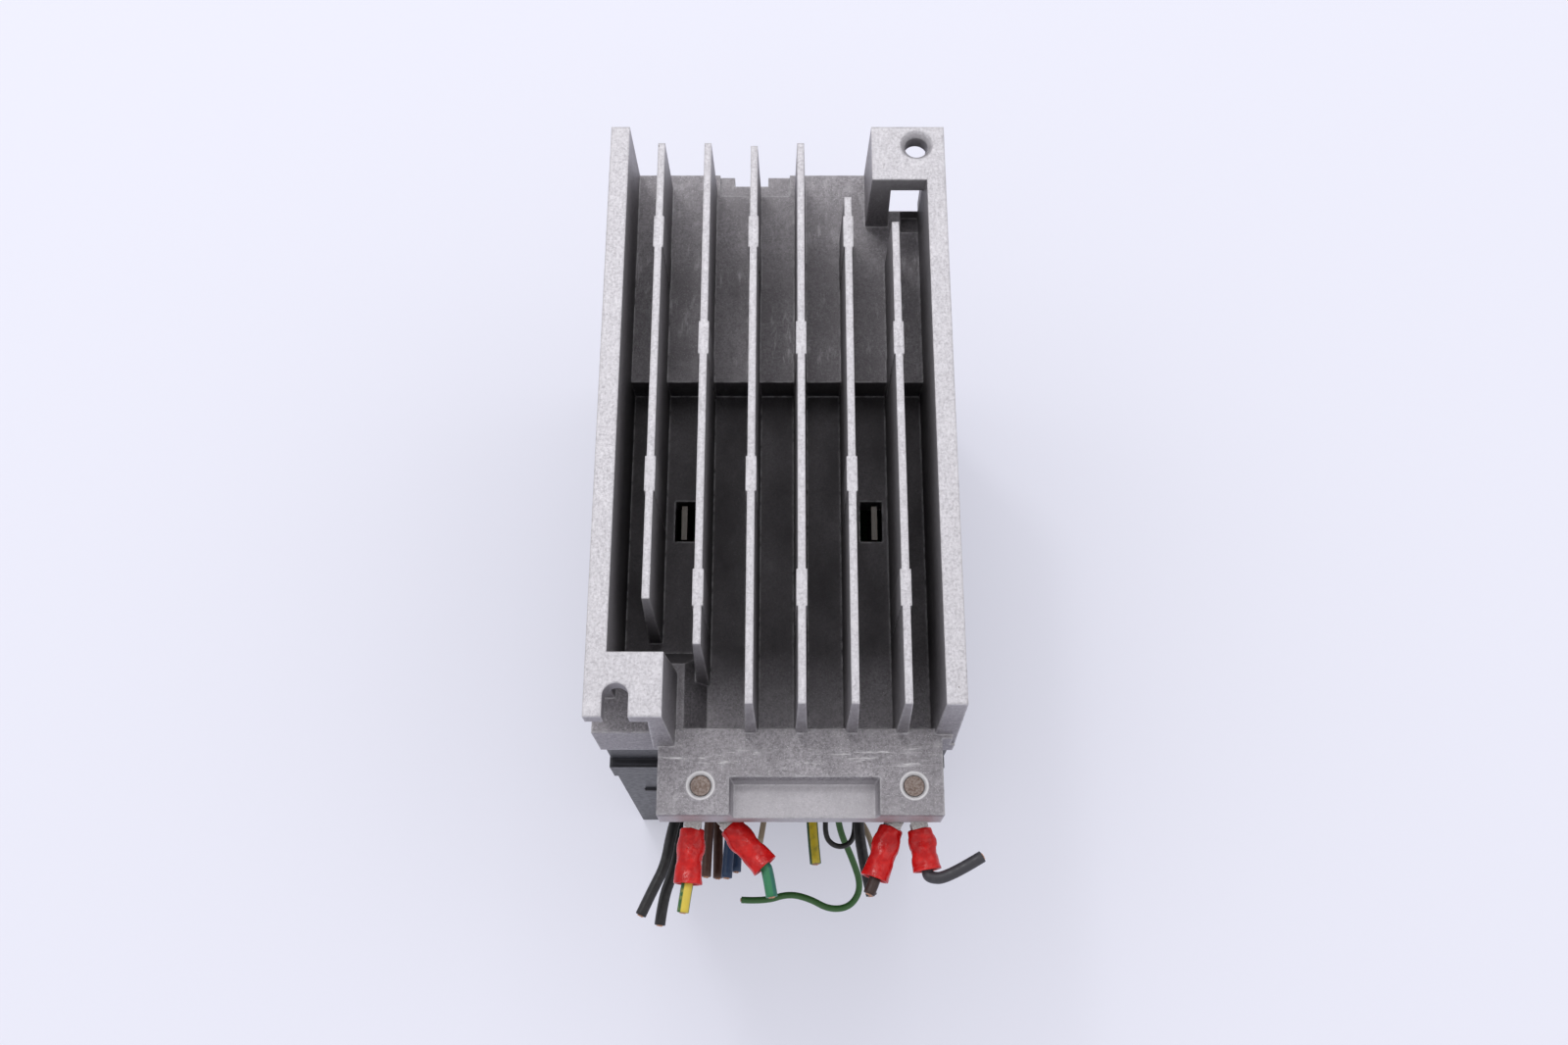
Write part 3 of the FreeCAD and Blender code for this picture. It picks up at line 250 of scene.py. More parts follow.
WIRE_FINISHES = {
    "black": insulation("black_insulation", (0.012, 0.012, 0.013), (0.04, 0.039, 0.04)),
    "brown": insulation("brown_insulation", (0.062, 0.022, 0.013), (0.10, 0.045, 0.03)),
    "blue": insulation("blue_insulation", (0.012, 0.033, 0.085), (0.03, 0.06, 0.12)),
    "beige": insulation("beige_insulation", (0.30, 0.24, 0.17), (0.2, 0.15, 0.1)),
    "green": insulation("green_insulation", (0.028, 0.10, 0.022), (0.05, 0.12, 0.04)),
    "earth": insulation("earth_insulation", (0.015, 0.07, 0.02), (0.05, 0.09, 0.03), (0.55, 0.42, 0.02)),
}


def along_and_across(points, index):
    """The heading of a line at one of its points, and two directions across it."""
    before, after = points[max(index - 1, 0)], points[min(index + 1, len(points) - 1)]
    heading = (after - before).normalized()
    side = heading.cross(Vector((0.13, 0.21, 1))).normalized()
    return heading, side, side.cross(heading).normalized()


def centre_line(route_mm, resolution=10):
    """A smooth line near a route's points."""
    curve = bpy.data.curves.new("route", "CURVE")
    curve.dimensions = "3D"
    curve.resolution_u = resolution
    spline = curve.splines.new("NURBS")
    spline.points.add(len(route_mm) - 1)
    for point, (x, y, z) in zip(spline.points, route_mm):
        point.co = (x * MM, y * MM, z * MM, 1)
    spline.order_u = 3
    spline.use_endpoint_u = True
    holder = bpy.data.objects.new("route", curve)
    mesh = bpy.data.meshes.new_from_object(holder)
    line = [vertex.co.copy() for vertex in mesh.vertices]
    bpy.data.objects.remove(holder)
    bpy.data.curves.remove(curve)
    bpy.data.meshes.remove(mesh)
    return line


def sheath(name, line, radius, sides=28):
    """A tube along a line, with a rounded lip at each end and a UV map that runs around it."""
    bm = bmesh.new()
    around_map = bm.loops.layers.uv.new("around")
    lip_depth, lip_size = 0.08 * radius, 0.86
    last = len(line) - 1
    stations = [(0, 0, lip_size)] + [(index, 0, 1.0) for index in range(len(line))] + [(last, 0, lip_size)]
    stations[1] = (0, lip_depth, 1.0)
    stations[-2] = (last, -lip_depth, 1.0)
    rings = []
    for index, shift, size in stations:
        heading, side, up = along_and_across(line, index)
        ring = []
        for step in range(sides):
            angle = 2 * math.pi * step / sides
            outwards = side * math.cos(angle) + up * math.sin(angle)
            ring.append(bm.verts.new(line[index] + heading * shift + outwards * radius * size))
        rings.append(ring)
    for lower, upper in zip(rings, rings[1:]):
        for step in range(sides):
            corner = (step + 1) % sides
            face = bm.faces.new((lower[step], lower[corner], upper[corner], upper[step]))
            face.smooth = True
            for loop, turn in zip(face.loops, (step, step + 1, step + 1, step)):
                loop[around_map].uv = (0, turn / sides)
    bm.faces.new(reversed(rings[0]))
    bm.faces.new(rings[-1])
    bmesh.ops.recalc_face_normals(bm, faces=bm.faces)
    mesh = bpy.data.meshes.new(name)
    bm.to_mesh(mesh)
    bm.free()
    return mesh


def strand_ends(name, line, radius, reach_mm=0.25):
    """The cut copper strands that stand out a little from the insulation."""
    tip = line[-1]
    heading, side, up = along_and_across(line, len(line) - 1)
    bm = bmesh.new()
    bundle = radius * 0.6
    thin = bundle / 5
    buried = 0.4 * MM
    spots = [(0.0, 0.0)]
    spots += [(0.40, k * math.pi / 3) for k in range(6)]
    spots += [(0.76, k * math.pi / 6) for k in range(12)]
    for number, (share, angle) in enumerate(spots):
        middle = tip + (side * math.cos(angle) + up * math.sin(angle)) * bundle * share
        length = (reach_mm * (0.55 + 0.45 * math.sin(number * 2.4) ** 2)) * MM
        base = middle - heading * buried
        turn = heading.to_track_quat("Z", "Y").to_matrix().to_4x4()
        bmesh.ops.create_cone(
            bm, cap_ends=True, segments=8, radius1=thin, radius2=thin * 0.8, depth=length + buried,
            matrix=Matrix.Translation(base + heading * (length + buried) / 2) @ turn)
    mesh = bpy.data.meshes.new(name)
    bm.to_mesh(mesh)
    bm.free()
    mesh.materials.append(copper)
    return mesh


# each: insulation, radius in millimetres, stiffness, route points in millimetres
WIRES = {
    "black_wire_a": ("black", 1.2, "stiff", (
        (-19.25, -41, 57), (-19.3, -55, 57.0), (-21.4, -62.5, 58.5), (-23.4, -70, 60.5), (-24.3, -77, 61.5),
        (-27.0, -82.5, 62), (-29.4, -87.8, 62))),
    "black_wire_b": ("black", 1.2, "stiff", (
        (-19.25, -41, 50.5), (-19.3, -55.5, 50.5), (-20.8, -63.5, 53), (-22.2, -71, 55.5), (-23.0, -78, 56.5),
        (-25.0, -83.5, 57), (-25.6, -89.4, 57))),
    "brown_wire_a": ("brown", 1.1, "stiff", (
        (-13.75, -41, 57), (-13.8, -54, 57), (-14.6, -62, 57.6), (-15.4, -70.5, 58.2), (-15.6, -79.2, 58.6))),
    "brown_wire_b": ("brown", 1.1, "stiff", (
        (-13.75, -41, 50.5), (-13.7, -55, 50.5), (-13.5, -63, 52.0), (-13.3, -71, 53.6), (-13.2, -79, 54.4))),
    "blue_wire_a": ("blue", 1.2, "stiff", (
        (-8.25, -41, 57), (-8.3, -54, 57), (-9.3, -62, 57.3), (-10.6, -70.5, 57.8), (-11.1, -79.4, 58.2))),
    "blue_wire_b": ("blue", 1.1, "stiff", (
        (-8.25, -41, 50.5), (-8.2, -54, 50.5), (-8.5, -62, 51.2), (-9.0, -69.5, 52.2), (-9.2, -77.4, 52.8))),
    "beige_wire": ("beige", 0.65, "medium", (
        (-2.75, -41, 57), (-2.7, -49.5, 57.1), (-2.3, -57.5, 56.6), (-2.5, -64.5, 57.3),
        (-3.8, -71.8, 58.3))),
    "earth_wire": ("earth", 1.25, "stiff", (
        (8.25, -41, 57), (8.2, -53, 57), (7.7, -60.5, 57.4), (7.7, -68, 58.0), (8.5, -76.4, 58.5))),
    "jumper_loop": ("black", 0.6, "medium", (
        (13.75, -41, 57), (13.7, -52, 56.9), (12.2, -58.5, 55.9), (10.9, -64.5, 54.6), (10.8, -69.7, 53.4),
        (12.75, -71.7, 52.7), (15.45, -71.7, 52.0), (17.4, -69.7, 51.4), (17.7, -64.6, 51.0),
        (19.1, -57.5, 50.6), (19.25, -49.5, 50.5), (19.3, -41, 50.6))),
    "green_wire": ("green", 0.75, "limp", (
        (13.75, -41, 50.5), (13.7, -51.5, 50.4), (13.4, -59.5, 48.6), (14.2, -67.0, 45.6),
        (17.2, -73.0, 43.4), (19.4, -79.5, 42.4), (16.9, -83.9, 42.0), (12.0, -84.6, 42),
        (7.2, -82.0, 42), (2.4, -81.0, 42),
        (-2.9, -82.7, 42), (-8.3, -82.4, 42))),
    "black_wire_c": ("black", 1.2, "stiff", (
        (19.25, -41, 57), (19.2, -53, 57), (18.4, -60.5, 57.6), (18.0, -68, 58.8), (19.0, -76, 60),
        (20.6, -83.4, 60.5))),
    "tan_wire": ("beige", 0.65, "medium", (
        (2.75, -41, 57), (2.8, -54, 57), (5.6, -59.6, 55.4), (11.0, -62.8, 53.4), (16.6, -64.6, 54.6),
        (20.2, -68.2, 56.2), (21.4, -73.2, 56.6))),
}
for name, (kind, radius, stiffness, route) in WIRES.items():
    line = centre_line(route)
    cord_piece = new_object(name + "_insulation", sheath(name + "_insulation", line, radius * MM))
    cord_piece.data.materials.append(WIRE_FINISHES[kind])
    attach(cord_piece, "drive")
    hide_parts(name)
    length = sum((b - a).length for a, b in zip(line, line[1:]))
    goes_back = name == "jumper_loop"
    strands = []
    if not goes_back:
        strands = [new_object(name + "_strands", strand_ends(name + "_strands", line, radius * MM))]
        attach(strands[0], "drive")

# ---- Heatsink casting ------------------------------------------------------------------------
# One die-cast aluminium piece with side walls, drafted fins, two feet and the earth flange. It is
# blasted after casting, and the back plane and fin tips are ground bright.


def soft_edges(tree, shader, radius_mm):
    """Shades sharp edges and inside corners as if they were rounded."""
    rounded = tree.nodes.new("ShaderNodeBevel")
    rounded.samples = 6
    rounded.inputs["Radius"].default_value = radius_mm * MM
    tree.links.new(rounded.outputs["Normal"], shader.inputs["Normal"])


# mask for the rubbed edges and for the painted highlight along them
def edge_wear_and_highlight(tree, radius_mm, low=0.02, high=0.3):
    """1 on sharp edges and 0 on flat faces."""
    rounded = tree.nodes.new("ShaderNodeBevel")
    rounded.samples = 4
    rounded.inputs["Radius"].default_value = radius_mm * MM
    shape = tree.nodes.new("ShaderNodeNewGeometry")
    likeness = tree.nodes.new("ShaderNodeVectorMath")
    likeness.operation = "DOT_PRODUCT"
    tree.links.new(rounded.outputs["Normal"], likeness.inputs[0])
    tree.links.new(shape.outputs["Normal"], likeness.inputs[1])
    return ranged(tree, arithmetic(tree, "SUBTRACT", 1.0, likeness.outputs["Value"]), low, high)


def place_along(tree, axis):
    """The object's own X, Y or Z in millimetres."""
    split = tree.nodes.new("ShaderNodeSeparateXYZ")
    tree.links.new(object_coordinates(tree), split.inputs[0])
    return split.outputs[axis]


def distance_from(tree, x, y):
    """Distance in millimetres from an upright line through x, y."""
    across = arithmetic(tree, "SUBTRACT", place_along(tree, "X"), x)
    along = arithmetic(tree, "SUBTRACT", place_along(tree, "Y"), y)
    squares = [arithmetic(tree, "MULTIPLY", value, value) for value in (across, along)]
    return arithmetic(tree, "SQRT", arithmetic(tree, "ADD", *squares))


def multiplied(tree, *values):
    """The product of numbers and sockets, the first of them a socket."""
    result = values[0]
    for value in values[1:]:
        result = arithmetic(tree, "MULTIPLY", result, value)
    return result


# X and Y of the two earth holes, in millimetres
EARTH_HOLES = ((-14.8, -66.8), (27.1, -66.8))


def cast_aluminium():
    """Blasted die-cast metal; heights are above the front rim and along is the object's own Y."""
    finish, tree, shader = new_material("blasted_aluminium", (0.4, 0.38, 0.41), 0.5, 0.72)
    grain_fine = noise(tree, 0.22, 2, rough=0.6)
    grain = noise(tree, 0.55, 5, rough=0.75)
    blotches = noise(tree, 3.2, 4, rough=0.6)
    clouds = noise(tree, 13, 4, rough=0.6)
    cast = blended(tree, ranged(tree, grain, 0.38, 0.64), (0.19, 0.178, 0.192), (0.43, 0.41, 0.435))
    cast = blended(tree, ranged(tree, clouds, 0.35, 0.68, 0.0, 0.6), cast, (0.20, 0.188, 0.20))
    cast = blended(tree, ranged(tree, blotches, 0.56, 0.72, 0.0, 0.35), cast, (0.52, 0.50, 0.525))
    sparkle = multiplied(tree, ranged(tree, grain_fine, 0.62, 0.7), 0.65)
    cast = blended(tree, sparkle, cast, (0.80, 0.79, 0.81))
    # painted shade: darker metal deep between the fins, where little light reaches, and less of it towards
    # both open ends
    along, height = (place_along(tree, axis) for axis in "YZ")
    inside_low = ranged(tree, along, -57, -38)
    inside_high = ranged(tree, along, 72, 42, 0.15, 1.0)
    depth = arithmetic(tree, "POWER", ranged(tree, height, 118, 94.5), 1.35)
    inside = multiplied(tree, inside_low, inside_high, depth)
    # patchy strength for the painted shade between the fins
    mottled_shade = ranged(tree, noise(tree, 8, 4, stretch=(1, 0.5, 1)), 0.3, 0.7, 0.78, 1.0)
    cast = blended(tree, multiplied(tree, inside, mottled_shade, 0.95), cast, (0.032, 0.029, 0.032))
    # pale scuffs where things have been pushed in between the fins
    streaks = ranged(tree, noise(tree, 1.5, 6, stretch=(1, 0.2, 1), rough=0.8), 0.53, 0.64)
    patches = ranged(tree, noise(tree, 11, 3), 0.46, 0.58)
    plate = multiplied(tree, ranged(tree, along, 18, 24), ranged(tree, height, 104, 102.6))
    cast = blended(tree, multiplied(tree, streaks, patches, plate, 0.7), cast, (0.40, 0.39, 0.405))
    # painted light: paler metal towards the top of the walls and fins, where more light falls
    painted_top_light = multiplied(
        tree, ranged(tree, height, 106, 119, 0, 0.55), ranged(tree, along, -58, -50, 0.4, 1))
    cast = blended(tree, painted_top_light, cast, (0.50, 0.485, 0.51))
    # ground back plane, with fine lines along the casting
    ground = ranged(tree, height, 119.35, 119.6)
    lines = noise(tree, 0.6, 4, stretch=(1, 0.3, 1), rough=0.7)
    bright = blended(tree, ranged(tree, lines, 0.3, 0.7), (0.48, 0.465, 0.49), (0.62, 0.605, 0.635))
    bright = blended(tree, ranged(tree, grain, 0.46, 0.66, 0, 0.6), bright, (0.33, 0.315, 0.335))
    bright = blended(tree, ranged(tree, blotches, 0.5, 0.72, 0, 0.35), bright, (0.66, 0.645, 0.67))
    pits = ranged(tree, noise(tree, 2.4, 3, rough=0.7), 0.715, 0.745)
    bright = blended(tree, multiplied(tree, pits, 0.7), bright, (0.10, 0.085, 0.075))
    colour = blended(tree, ground, cast, bright)
    pocket = multiplied(tree, ranged(tree, along, -63.5, -65.5), ranged(tree, height, 99.5, 98.5))
    colour = blended(tree, multiplied(tree, pocket, 0.4), colour, (0.62, 0.60, 0.63))
    # rubbed edges, partly real wear and partly a painted highlight along the edges; the scraped flange and
    # the two machined rings round the earth holes
    worn = multiplied(tree, edge_wear_and_highlight(tree, 0.8), ranged(tree, noise(tree, 1.6, 4), 0.28, 0.55))
    colour = blended(tree, multiplied(tree, worn, 0.7), colour, (0.74, 0.725, 0.75))
    scrape = ranged(tree, noise(tree, 1.3, 6, stretch=(0.12, 1.2, 1), rough=0.8), 0.56, 0.66)
    from_step = arithmetic(tree, "ABSOLUTE", arithmetic(tree, "ADD", along, 61.2))
    near_step = arithmetic(tree, "SUBTRACT", 1.0, ranged(tree, from_step, 1.2, 2.4))
    colour = blended(tree, multiplied(tree, scrape, near_step, 0.75), colour, (0.80, 0.785, 0.80))
    rings = [ranged(tree, distance_from(tree, x, y), 2.95, 2.7) for x, y in EARTH_HOLES]
    ring = multiplied(tree, arithmetic(tree, "MAXIMUM", *rings), ranged(tree, height, 100.2, 100.7))
    colour = blended(tree, multiplied(tree, ring, 0.75), colour, (0.74, 0.73, 0.74))
    tree.links.new(colour, shader.inputs["Base Color"])
    tree.links.new(ranged(tree, grain, 0.3, 0.7, 0.44, 0.66), shader.inputs["Roughness"])
    soft_edges(tree, shader, 0.75)
    raise_surface(tree, shader, grain, 0.14, 0.9)
    raise_surface(tree, shader, grain_fine, 0.05, 0.8)
    return finish


def plain_finish(node, finish):
    """The finish of a CAD piece that stays as it is."""
    mesh = frame["nodes"][node].data
    mesh.materials.clear()
    mesh.materials.append(finish)


plain_finish("heatsink_casting", cast_aluminium())

# ---- Module clips ----------------------------------------------------------------------------
# Spring-steel blades in the two floor windows. They are pressed from strip, and hold the power
# module against the casting.


def brushed_metal(name, colour, dark, roughness, stretch=(1, 1, 1)):
    """Metal with fine lines that run along its stretched axis."""
    finish, tree, shader = new_material(name, colour, roughness, 1.0)
    lines = noise(tree, 0.4, 4, stretch=stretch, rough=0.65)
    tree.links.new(blended(tree, ranged(tree, lines, 0.35, 0.7), dark, colour), shader.inputs["Base Color"])
    tree.links.new(
        ranged(tree, lines, 0.3, 0.7, roughness - 0.08, roughness + 0.12), shader.inputs["Roughness"])
    raise_surface(tree, shader, lines, 0.02, 0.6)
    return finish


spring_steel = brushed_metal("spring_steel", (0.16, 0.15, 0.14), (0.07, 0.062, 0.056), 0.45, (1, 0.1, 1))
plain_finish("module_clips", spring_steel)

# ---- Earth screws ----------------------------------------------------------------------------
# Steel screws driven up through the ring lugs into the flange's two threaded holes, where their
# worn tips show.

zinc = brushed_metal("zinc_plate", (0.66, 0.62, 0.58), (0.34, 0.29, 0.25), 0.36)
worn_steel = brushed_metal("worn_steel", (0.30, 0.255, 0.235), (0.12, 0.085, 0.07), 0.45)
plain_finish("earth_screws", worn_steel)

# ---- Ring lugs -------------------------------------------------------------------------------
# Tinned copper ring tongues and barrels, stamped and rolled from sheet. Two are held under each
# earth screw.

tinned_copper = brushed_metal("tinned_copper", (0.70, 0.68, 0.66), (0.4, 0.38, 0.37), 0.35)
plain_finish("ring_lugs", tinned_copper)

# ---- Lug sleeves -----------------------------------------------------------------------------
# Glossy red vinyl sleeves over the lug barrels, pressed flatter by the crimping tool and flared
# open at the wire's end.


def lofted(name, rings):
    """A skin over rings of equal count, closed at both ends."""
    bm = bmesh.new()
    rows = [[bm.verts.new(point) for point in ring] for ring in rings]
    count = len(rows[0])
    for lower, upper in zip(rows, rows[1:]):
        for step in range(count):
            corner = (step + 1) % count
            bm.faces.new((lower[step], lower[corner], upper[corner], upper[step])).smooth = True
    bm.faces.new(reversed(rows[0]))
    bm.faces.new(rows[-1])
    bmesh.ops.recalc_face_normals(bm, faces=bm.faces)
    mesh = bpy.data.meshes.new(name)
    bm.to_mesh(mesh)
    bm.free()
    return mesh


def joined(name, meshes):
    """One mesh from several, with each one's material kept."""
    bm = bmesh.new()
    whole = bpy.data.meshes.new(name)
    for number, mesh in enumerate(meshes):
        before = len(bm.faces)
        bm.from_mesh(mesh)
        bm.faces.ensure_lookup_table()
        for face in bm.faces[before:]:
            face.material_index = number
        whole.materials.append(mesh.materials[0])
    bm.to_mesh(whole)
    bm.free()
    return whole


# each, in millimetres: where the sleeve starts, its axis height, its heading in degrees, its length,
# and the wire's later points with their rise above the axis
LUGS = (
    ((-16.9, -73.6), 89.7, -3.6, 10.8, ((-17.9, -86.0, 0.1), (-18.4, -89.9, 0.0))),
    ((-9.3, -72.9), 88.9, 42.0, 10.6, ((-1.7, -81.6, 0.0), (-0.8, -86.8, 0.0))),
    ((23.3, -73.2), 88.9, -20.0, 10.6, ((19.7, -83.4, 0.0), (18.5, -86.2, 0.0))),
    ((28.9, -73.6), 89.7, 9.0, 8.2, ((30.4, -83.1, 0.4), (33.8, -83.4, 1.6), (41.0, -79.2, 2.6))),
)
# share of the length, half width, half height (mm)
SLEEVE_PROFILE = (
    (0.0, 2.30, 2.15), (0.03, 2.45, 2.30), (0.14, 2.50, 2.35), (0.22, 2.72, 2.22), (0.30, 2.85, 2.12),
    (0.40, 2.80, 2.16), (0.50, 2.55, 2.25), (0.60, 2.50, 2.30), (0.70, 2.68, 2.05), (0.80, 2.72, 2.05),
    (0.90, 2.75, 2.25), (0.97, 2.85, 2.40), (1.0, 2.85, 2.42),
)


def sleeve(name, start, axis_height, heading, length, phase):
    """A crimped sleeve with creases, a thin flared mouth and a hollow far end."""
    turn = math.radians(heading)
    forward = Vector((math.sin(turn), -math.cos(turn), 0))
    side = Vector((math.cos(turn), math.sin(turn), 0))
    origin = Vector((*start, axis_height))
    sides = 56
    rings = []

    def ring(share, width, height, crease=1.0):
        points = []
        for step in range(sides):
            angle = 2 * math.pi * step / sides
            fold = 0.03 * math.sin(3 * angle + 7 * share + phase)
            fold += 0.012 * math.sin(8 * angle - 11 * share + 2 * phase)
            dent = 0.07 * max(0, math.sin(angle)) ** 2 * (
                math.exp(-((share - 0.31) / 0.11) ** 2) + 0.7 * math.exp(-((share - 0.74) / 0.09) ** 2))
            swell = 1 + crease * (fold - dent)
            points.append((origin + forward * length * share + side * width * math.cos(angle) * swell
                           + Vector((0, 0, height * math.sin(angle) * swell))) * MM)
        return points

    for (share_a, width_a, height_a), (share_b, width_b, height_b) in zip(SLEEVE_PROFILE, SLEEVE_PROFILE[1:]):
        for part in range(4):
            t = part / 4
            ease = t * t * (3 - 2 * t)
            rings.append(ring(share_a + (share_b - share_a) * t, width_a + (width_b - width_a) * ease,
                              height_a + (height_b - height_a) * ease))
    rings.append(ring(*SLEEVE_PROFILE[-1]))
    # over the lip and back down the hollow mouth
    rings.append(ring(1.005, 2.65, 2.22))
    rings.append(ring(0.99, 2.30, 1.88))
    rings.append(ring(0.72, 1.55, 1.40, 0.4))
    mesh = lofted(name, rings)
    mesh.materials.append(red_vinyl)
    return mesh


red_vinyl, tree, shader = new_material("red_vinyl", (0.46, 0.012, 0.012), 0.2, Specular_IOR_Level=0.28)
creases = noise(tree, 1.8, 4, rough=0.6)
# the red follows the crease bump: darker in its hollows, a painted shade in the folds, and paler on the
# crowns
tree.links.new(
    blended(tree, ranged(tree, creases, 0.40, 0.68), (0.42, 0.004, 0.005), (0.60, 0.014, 0.012)),
    shader.inputs["Base Color"])
tree.links.new(ranged(tree, noise(tree, 1.1, 3), 0.35, 0.7, 0.10, 0.28), shader.inputs["Roughness"])
raise_surface(tree, shader, creases, 0.30, 0.6)
sleeves = new_object("crimped_sleeves", joined("crimped_sleeves", [
    sleeve(f"sleeve_{number}", start, axis_height, heading, length, number * 1.7)
    for number, (start, axis_height, heading, length, bend) in enumerate(LUGS)]))
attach(sleeves, "drive")
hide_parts("lug_sleeves")

# ---- Lug wire stubs --------------------------------------------------------------------------
# The short ends of wire left in the lugs: two earth wires, one dark brown and one grey-black,
# with their cut strands showing.

STUB_FINISHES = (
    insulation("yellow_green_stub", (0.60, 0.46, 0.05), (0.5, 0.40, 0.07), (0.015, 0.10, 0.02), 0.2),
    insulation("teal_stub", (0.014, 0.125, 0.085), (0.06, 0.22, 0.16), (0.02, 0.17, 0.07), 0.1),
    insulation("dark_brown_stub", (0.028, 0.012, 0.009), (0.055, 0.028, 0.02)),
    insulation("grey_black_stub", (0.036, 0.035, 0.042), (0.06, 0.06, 0.066)),
)
stub_meshes = []
for number, (start, axis_height, heading, length, bend) in enumerate(LUGS):
    turn = math.radians(heading)
    forward = Vector((math.sin(turn), -math.cos(turn), 0))
    inside_end = Vector((*start, axis_height)) + forward * length * 0.35
    mouth = Vector((*start, axis_height)) + forward * length
    route = [tuple(inside_end), tuple(mouth)] + [(x, y, axis_height + rise) for x, y, rise in bend]
    line = centre_line(route)
    covering = sheath(f"stub_{number}", line, 1.19 * MM)
    covering.materials.append(STUB_FINISHES[number])
    stub_meshes += [covering, strand_ends(f"stub_strands_{number}", line, 1.19 * MM, 0.2)]
stubs = new_object("stub_wires", joined("stub_wires", stub_meshes))
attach(stubs, "drive")
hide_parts("lug_wire_stubs")

# ---- Housing ---------------------------------------------------------------------------------
# Black moulded plastic case shell, in one piece with its ridge, its vent slots and the door's
# ears. A recessed band runs under the casting at the wiring end.


def moulded_plastic(name, colour, roughness, dust=0.25, grain_mm=0.35):
    """Moulded plastic with a fine spark-eroded texture and a little dust."""
    finish, tree, shader = new_material(name, colour, roughness, Specular_IOR_Level=0.3)
    grain = noise(tree, grain_mm, 3, rough=0.6)
    lighter = [min(1, value * 1.5 + 0.012) for value in colour]
    film = ranged(tree, noise(tree, 7, 5, rough=0.6), 0.45, 0.8, 0.0, dust)
    tree.links.new(blended(tree, film, colour, lighter), shader.inputs["Base Color"])
    uneven = ranged(tree, noise(tree, 1.2, 4), 0.3, 0.7, roughness - 0.06, roughness + 0.08)
    tree.links.new(uneven, shader.inputs["Roughness"])
    soft_edges(tree, shader, 0.4)
    raise_surface(tree, shader, grain, 0.03, 0.7)
    return finish


case_plastic = moulded_plastic("case_plastic", (0.018, 0.019, 0.024), 0.36, 0.6)
plain_finish("housing", case_plastic)

# ---- Wiring comb -----------------------------------------------------------------------------
# Grey moulded plate with slots, which closes the wiring end below the wiring mouth. It sits in a
# shallow seat in the housing.

plain_finish("wiring_comb", moulded_plastic("comb_plastic", (0.045, 0.044, 0.052), 0.42))

# ---- Terminal door ---------------------------------------------------------------------------
# Moulded plastic cover over the control terminals, with a finger slot at its free edge. It turns
# on hinge pins along its other edge.

panel_plastic = moulded_plastic("panel_plastic", (0.10, 0.105, 0.115), 0.45)
plain_finish("terminal_door", panel_plastic)

# ---- Front panel -----------------------------------------------------------------------------
# Moulded operator panel with openings for the display, keys, lamps and dial. It is the same
# plastic as the door, and four posts on its back carry the operator board.

plain_finish("front_panel", panel_plastic)

# ---- Keys ------------------------------------------------------------------------------------
# Six moulded rubber keys, one green for run and one red for stop. Each stands in its own opening
# in the panel and is pressed in against a switch.


def softened(node, width_mm, angle=28, segments=3):
    """A copy of a small CAD piece with its sharp edges rounded over."""
    mesh = frame["nodes"][node].data.copy()
    bm = bmesh.new()
    bm.from_mesh(mesh)
    bmesh.ops.remove_doubles(bm, verts=bm.verts, dist=2e-6)
    bmesh.ops.dissolve_limit(bm, angle_limit=math.radians(0.4), verts=bm.verts, edges=bm.edges)
    bm.to_mesh(mesh)
    bm.free()
    piece = new_object(node + "_moulded", mesh)
    rounding = piece.modifiers.new("rounded_edges", "BEVEL")
    rounding.width = width_mm * MM
    rounding.segments = segments
    rounding.limit_method = "ANGLE"
    rounding.angle_limit = math.radians(angle)
    rounding.use_clamp_overlap = False
    rounding.harden_normals = True
    piece.data = bpy.data.meshes.new_from_object(piece.evaluated_get(bpy.context.evaluated_depsgraph_get()))
    piece.modifiers.clear()
    piece.data.materials.clear()
    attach(piece, body_of(frame["nodes"][node])[0])
    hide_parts(node)
    return piece


KEY_GREY = (0.33, 0.34, 0.36)
KEY_COLOURS = {
    "key_run": (0.02, 0.19, 0.06), "key_stop": (0.36, 0.02, 0.018), "key_menu": KEY_GREY,
    "key_up": KEY_GREY, "key_down": KEY_GREY, "key_enter": KEY_GREY,
}
for name, colour in KEY_COLOURS.items():
    key = softened(name, 0.5)
    key.data.materials.append(moulded_plastic(name + "_rubber", colour, 0.6, 0.2, 0.25))

# ---- Speed dial ------------------------------------------------------------------------------
# Black moulded knob with a fluted edge and a slot for its pointer line. It turns the
# potentiometer behind the panel.

dial = softened("speed_dial", 0.3)
dial.data.materials.append(moulded_plastic("dial_plastic", (0.03, 0.03, 0.033), 0.4))

# ---- Display ---------------------------------------------------------------------------------
# Smoked clear window set into the panel over an epoxy-filled digit module, with three small
# diffused status lamps in a row above it.

finish, tree, shader = new_material("smoked_window", (0.62, 0.10, 0.09), 0.05, Specular_IOR_Level=0.4)
shader.inputs["Transmission Weight"].default_value = 0.92
raise_surface(tree, shader, noise(tree, 3, 2), 0.004, 0.5)
plain_finish("display_window", finish)
plain_finish("display_module", moulded_plastic("display_plastic", (0.045, 0.045, 0.05), 0.5))
finish, tree, shader = new_material("lamp_lens", (0.30, 0.42, 0.30), 0.25, Specular_IOR_Level=0.6)
raise_surface(tree, shader, noise(tree, 0.6, 2), 0.01, 0.5)
plain_finish("status_lamps", finish)

# ---- Dial scale ------------------------------------------------------------------------------
# White ticks printed on the panel round the dial, repeated along an arc by a node tree, and the
# dial's own printed pointer line.

WHITE_INK, tree, shader = new_material("white_ink", (0.75, 0.75, 0.74), 0.6)
raise_surface(tree, shader, noise(tree, 0.3, 2), 0.004, 0.4)
PANEL_FACE = 1.2 * MM
DIAL_FACE = 0.8 * MM
INK = 0.04 * MM
DIAL = (19 * MM, 24 * MM)


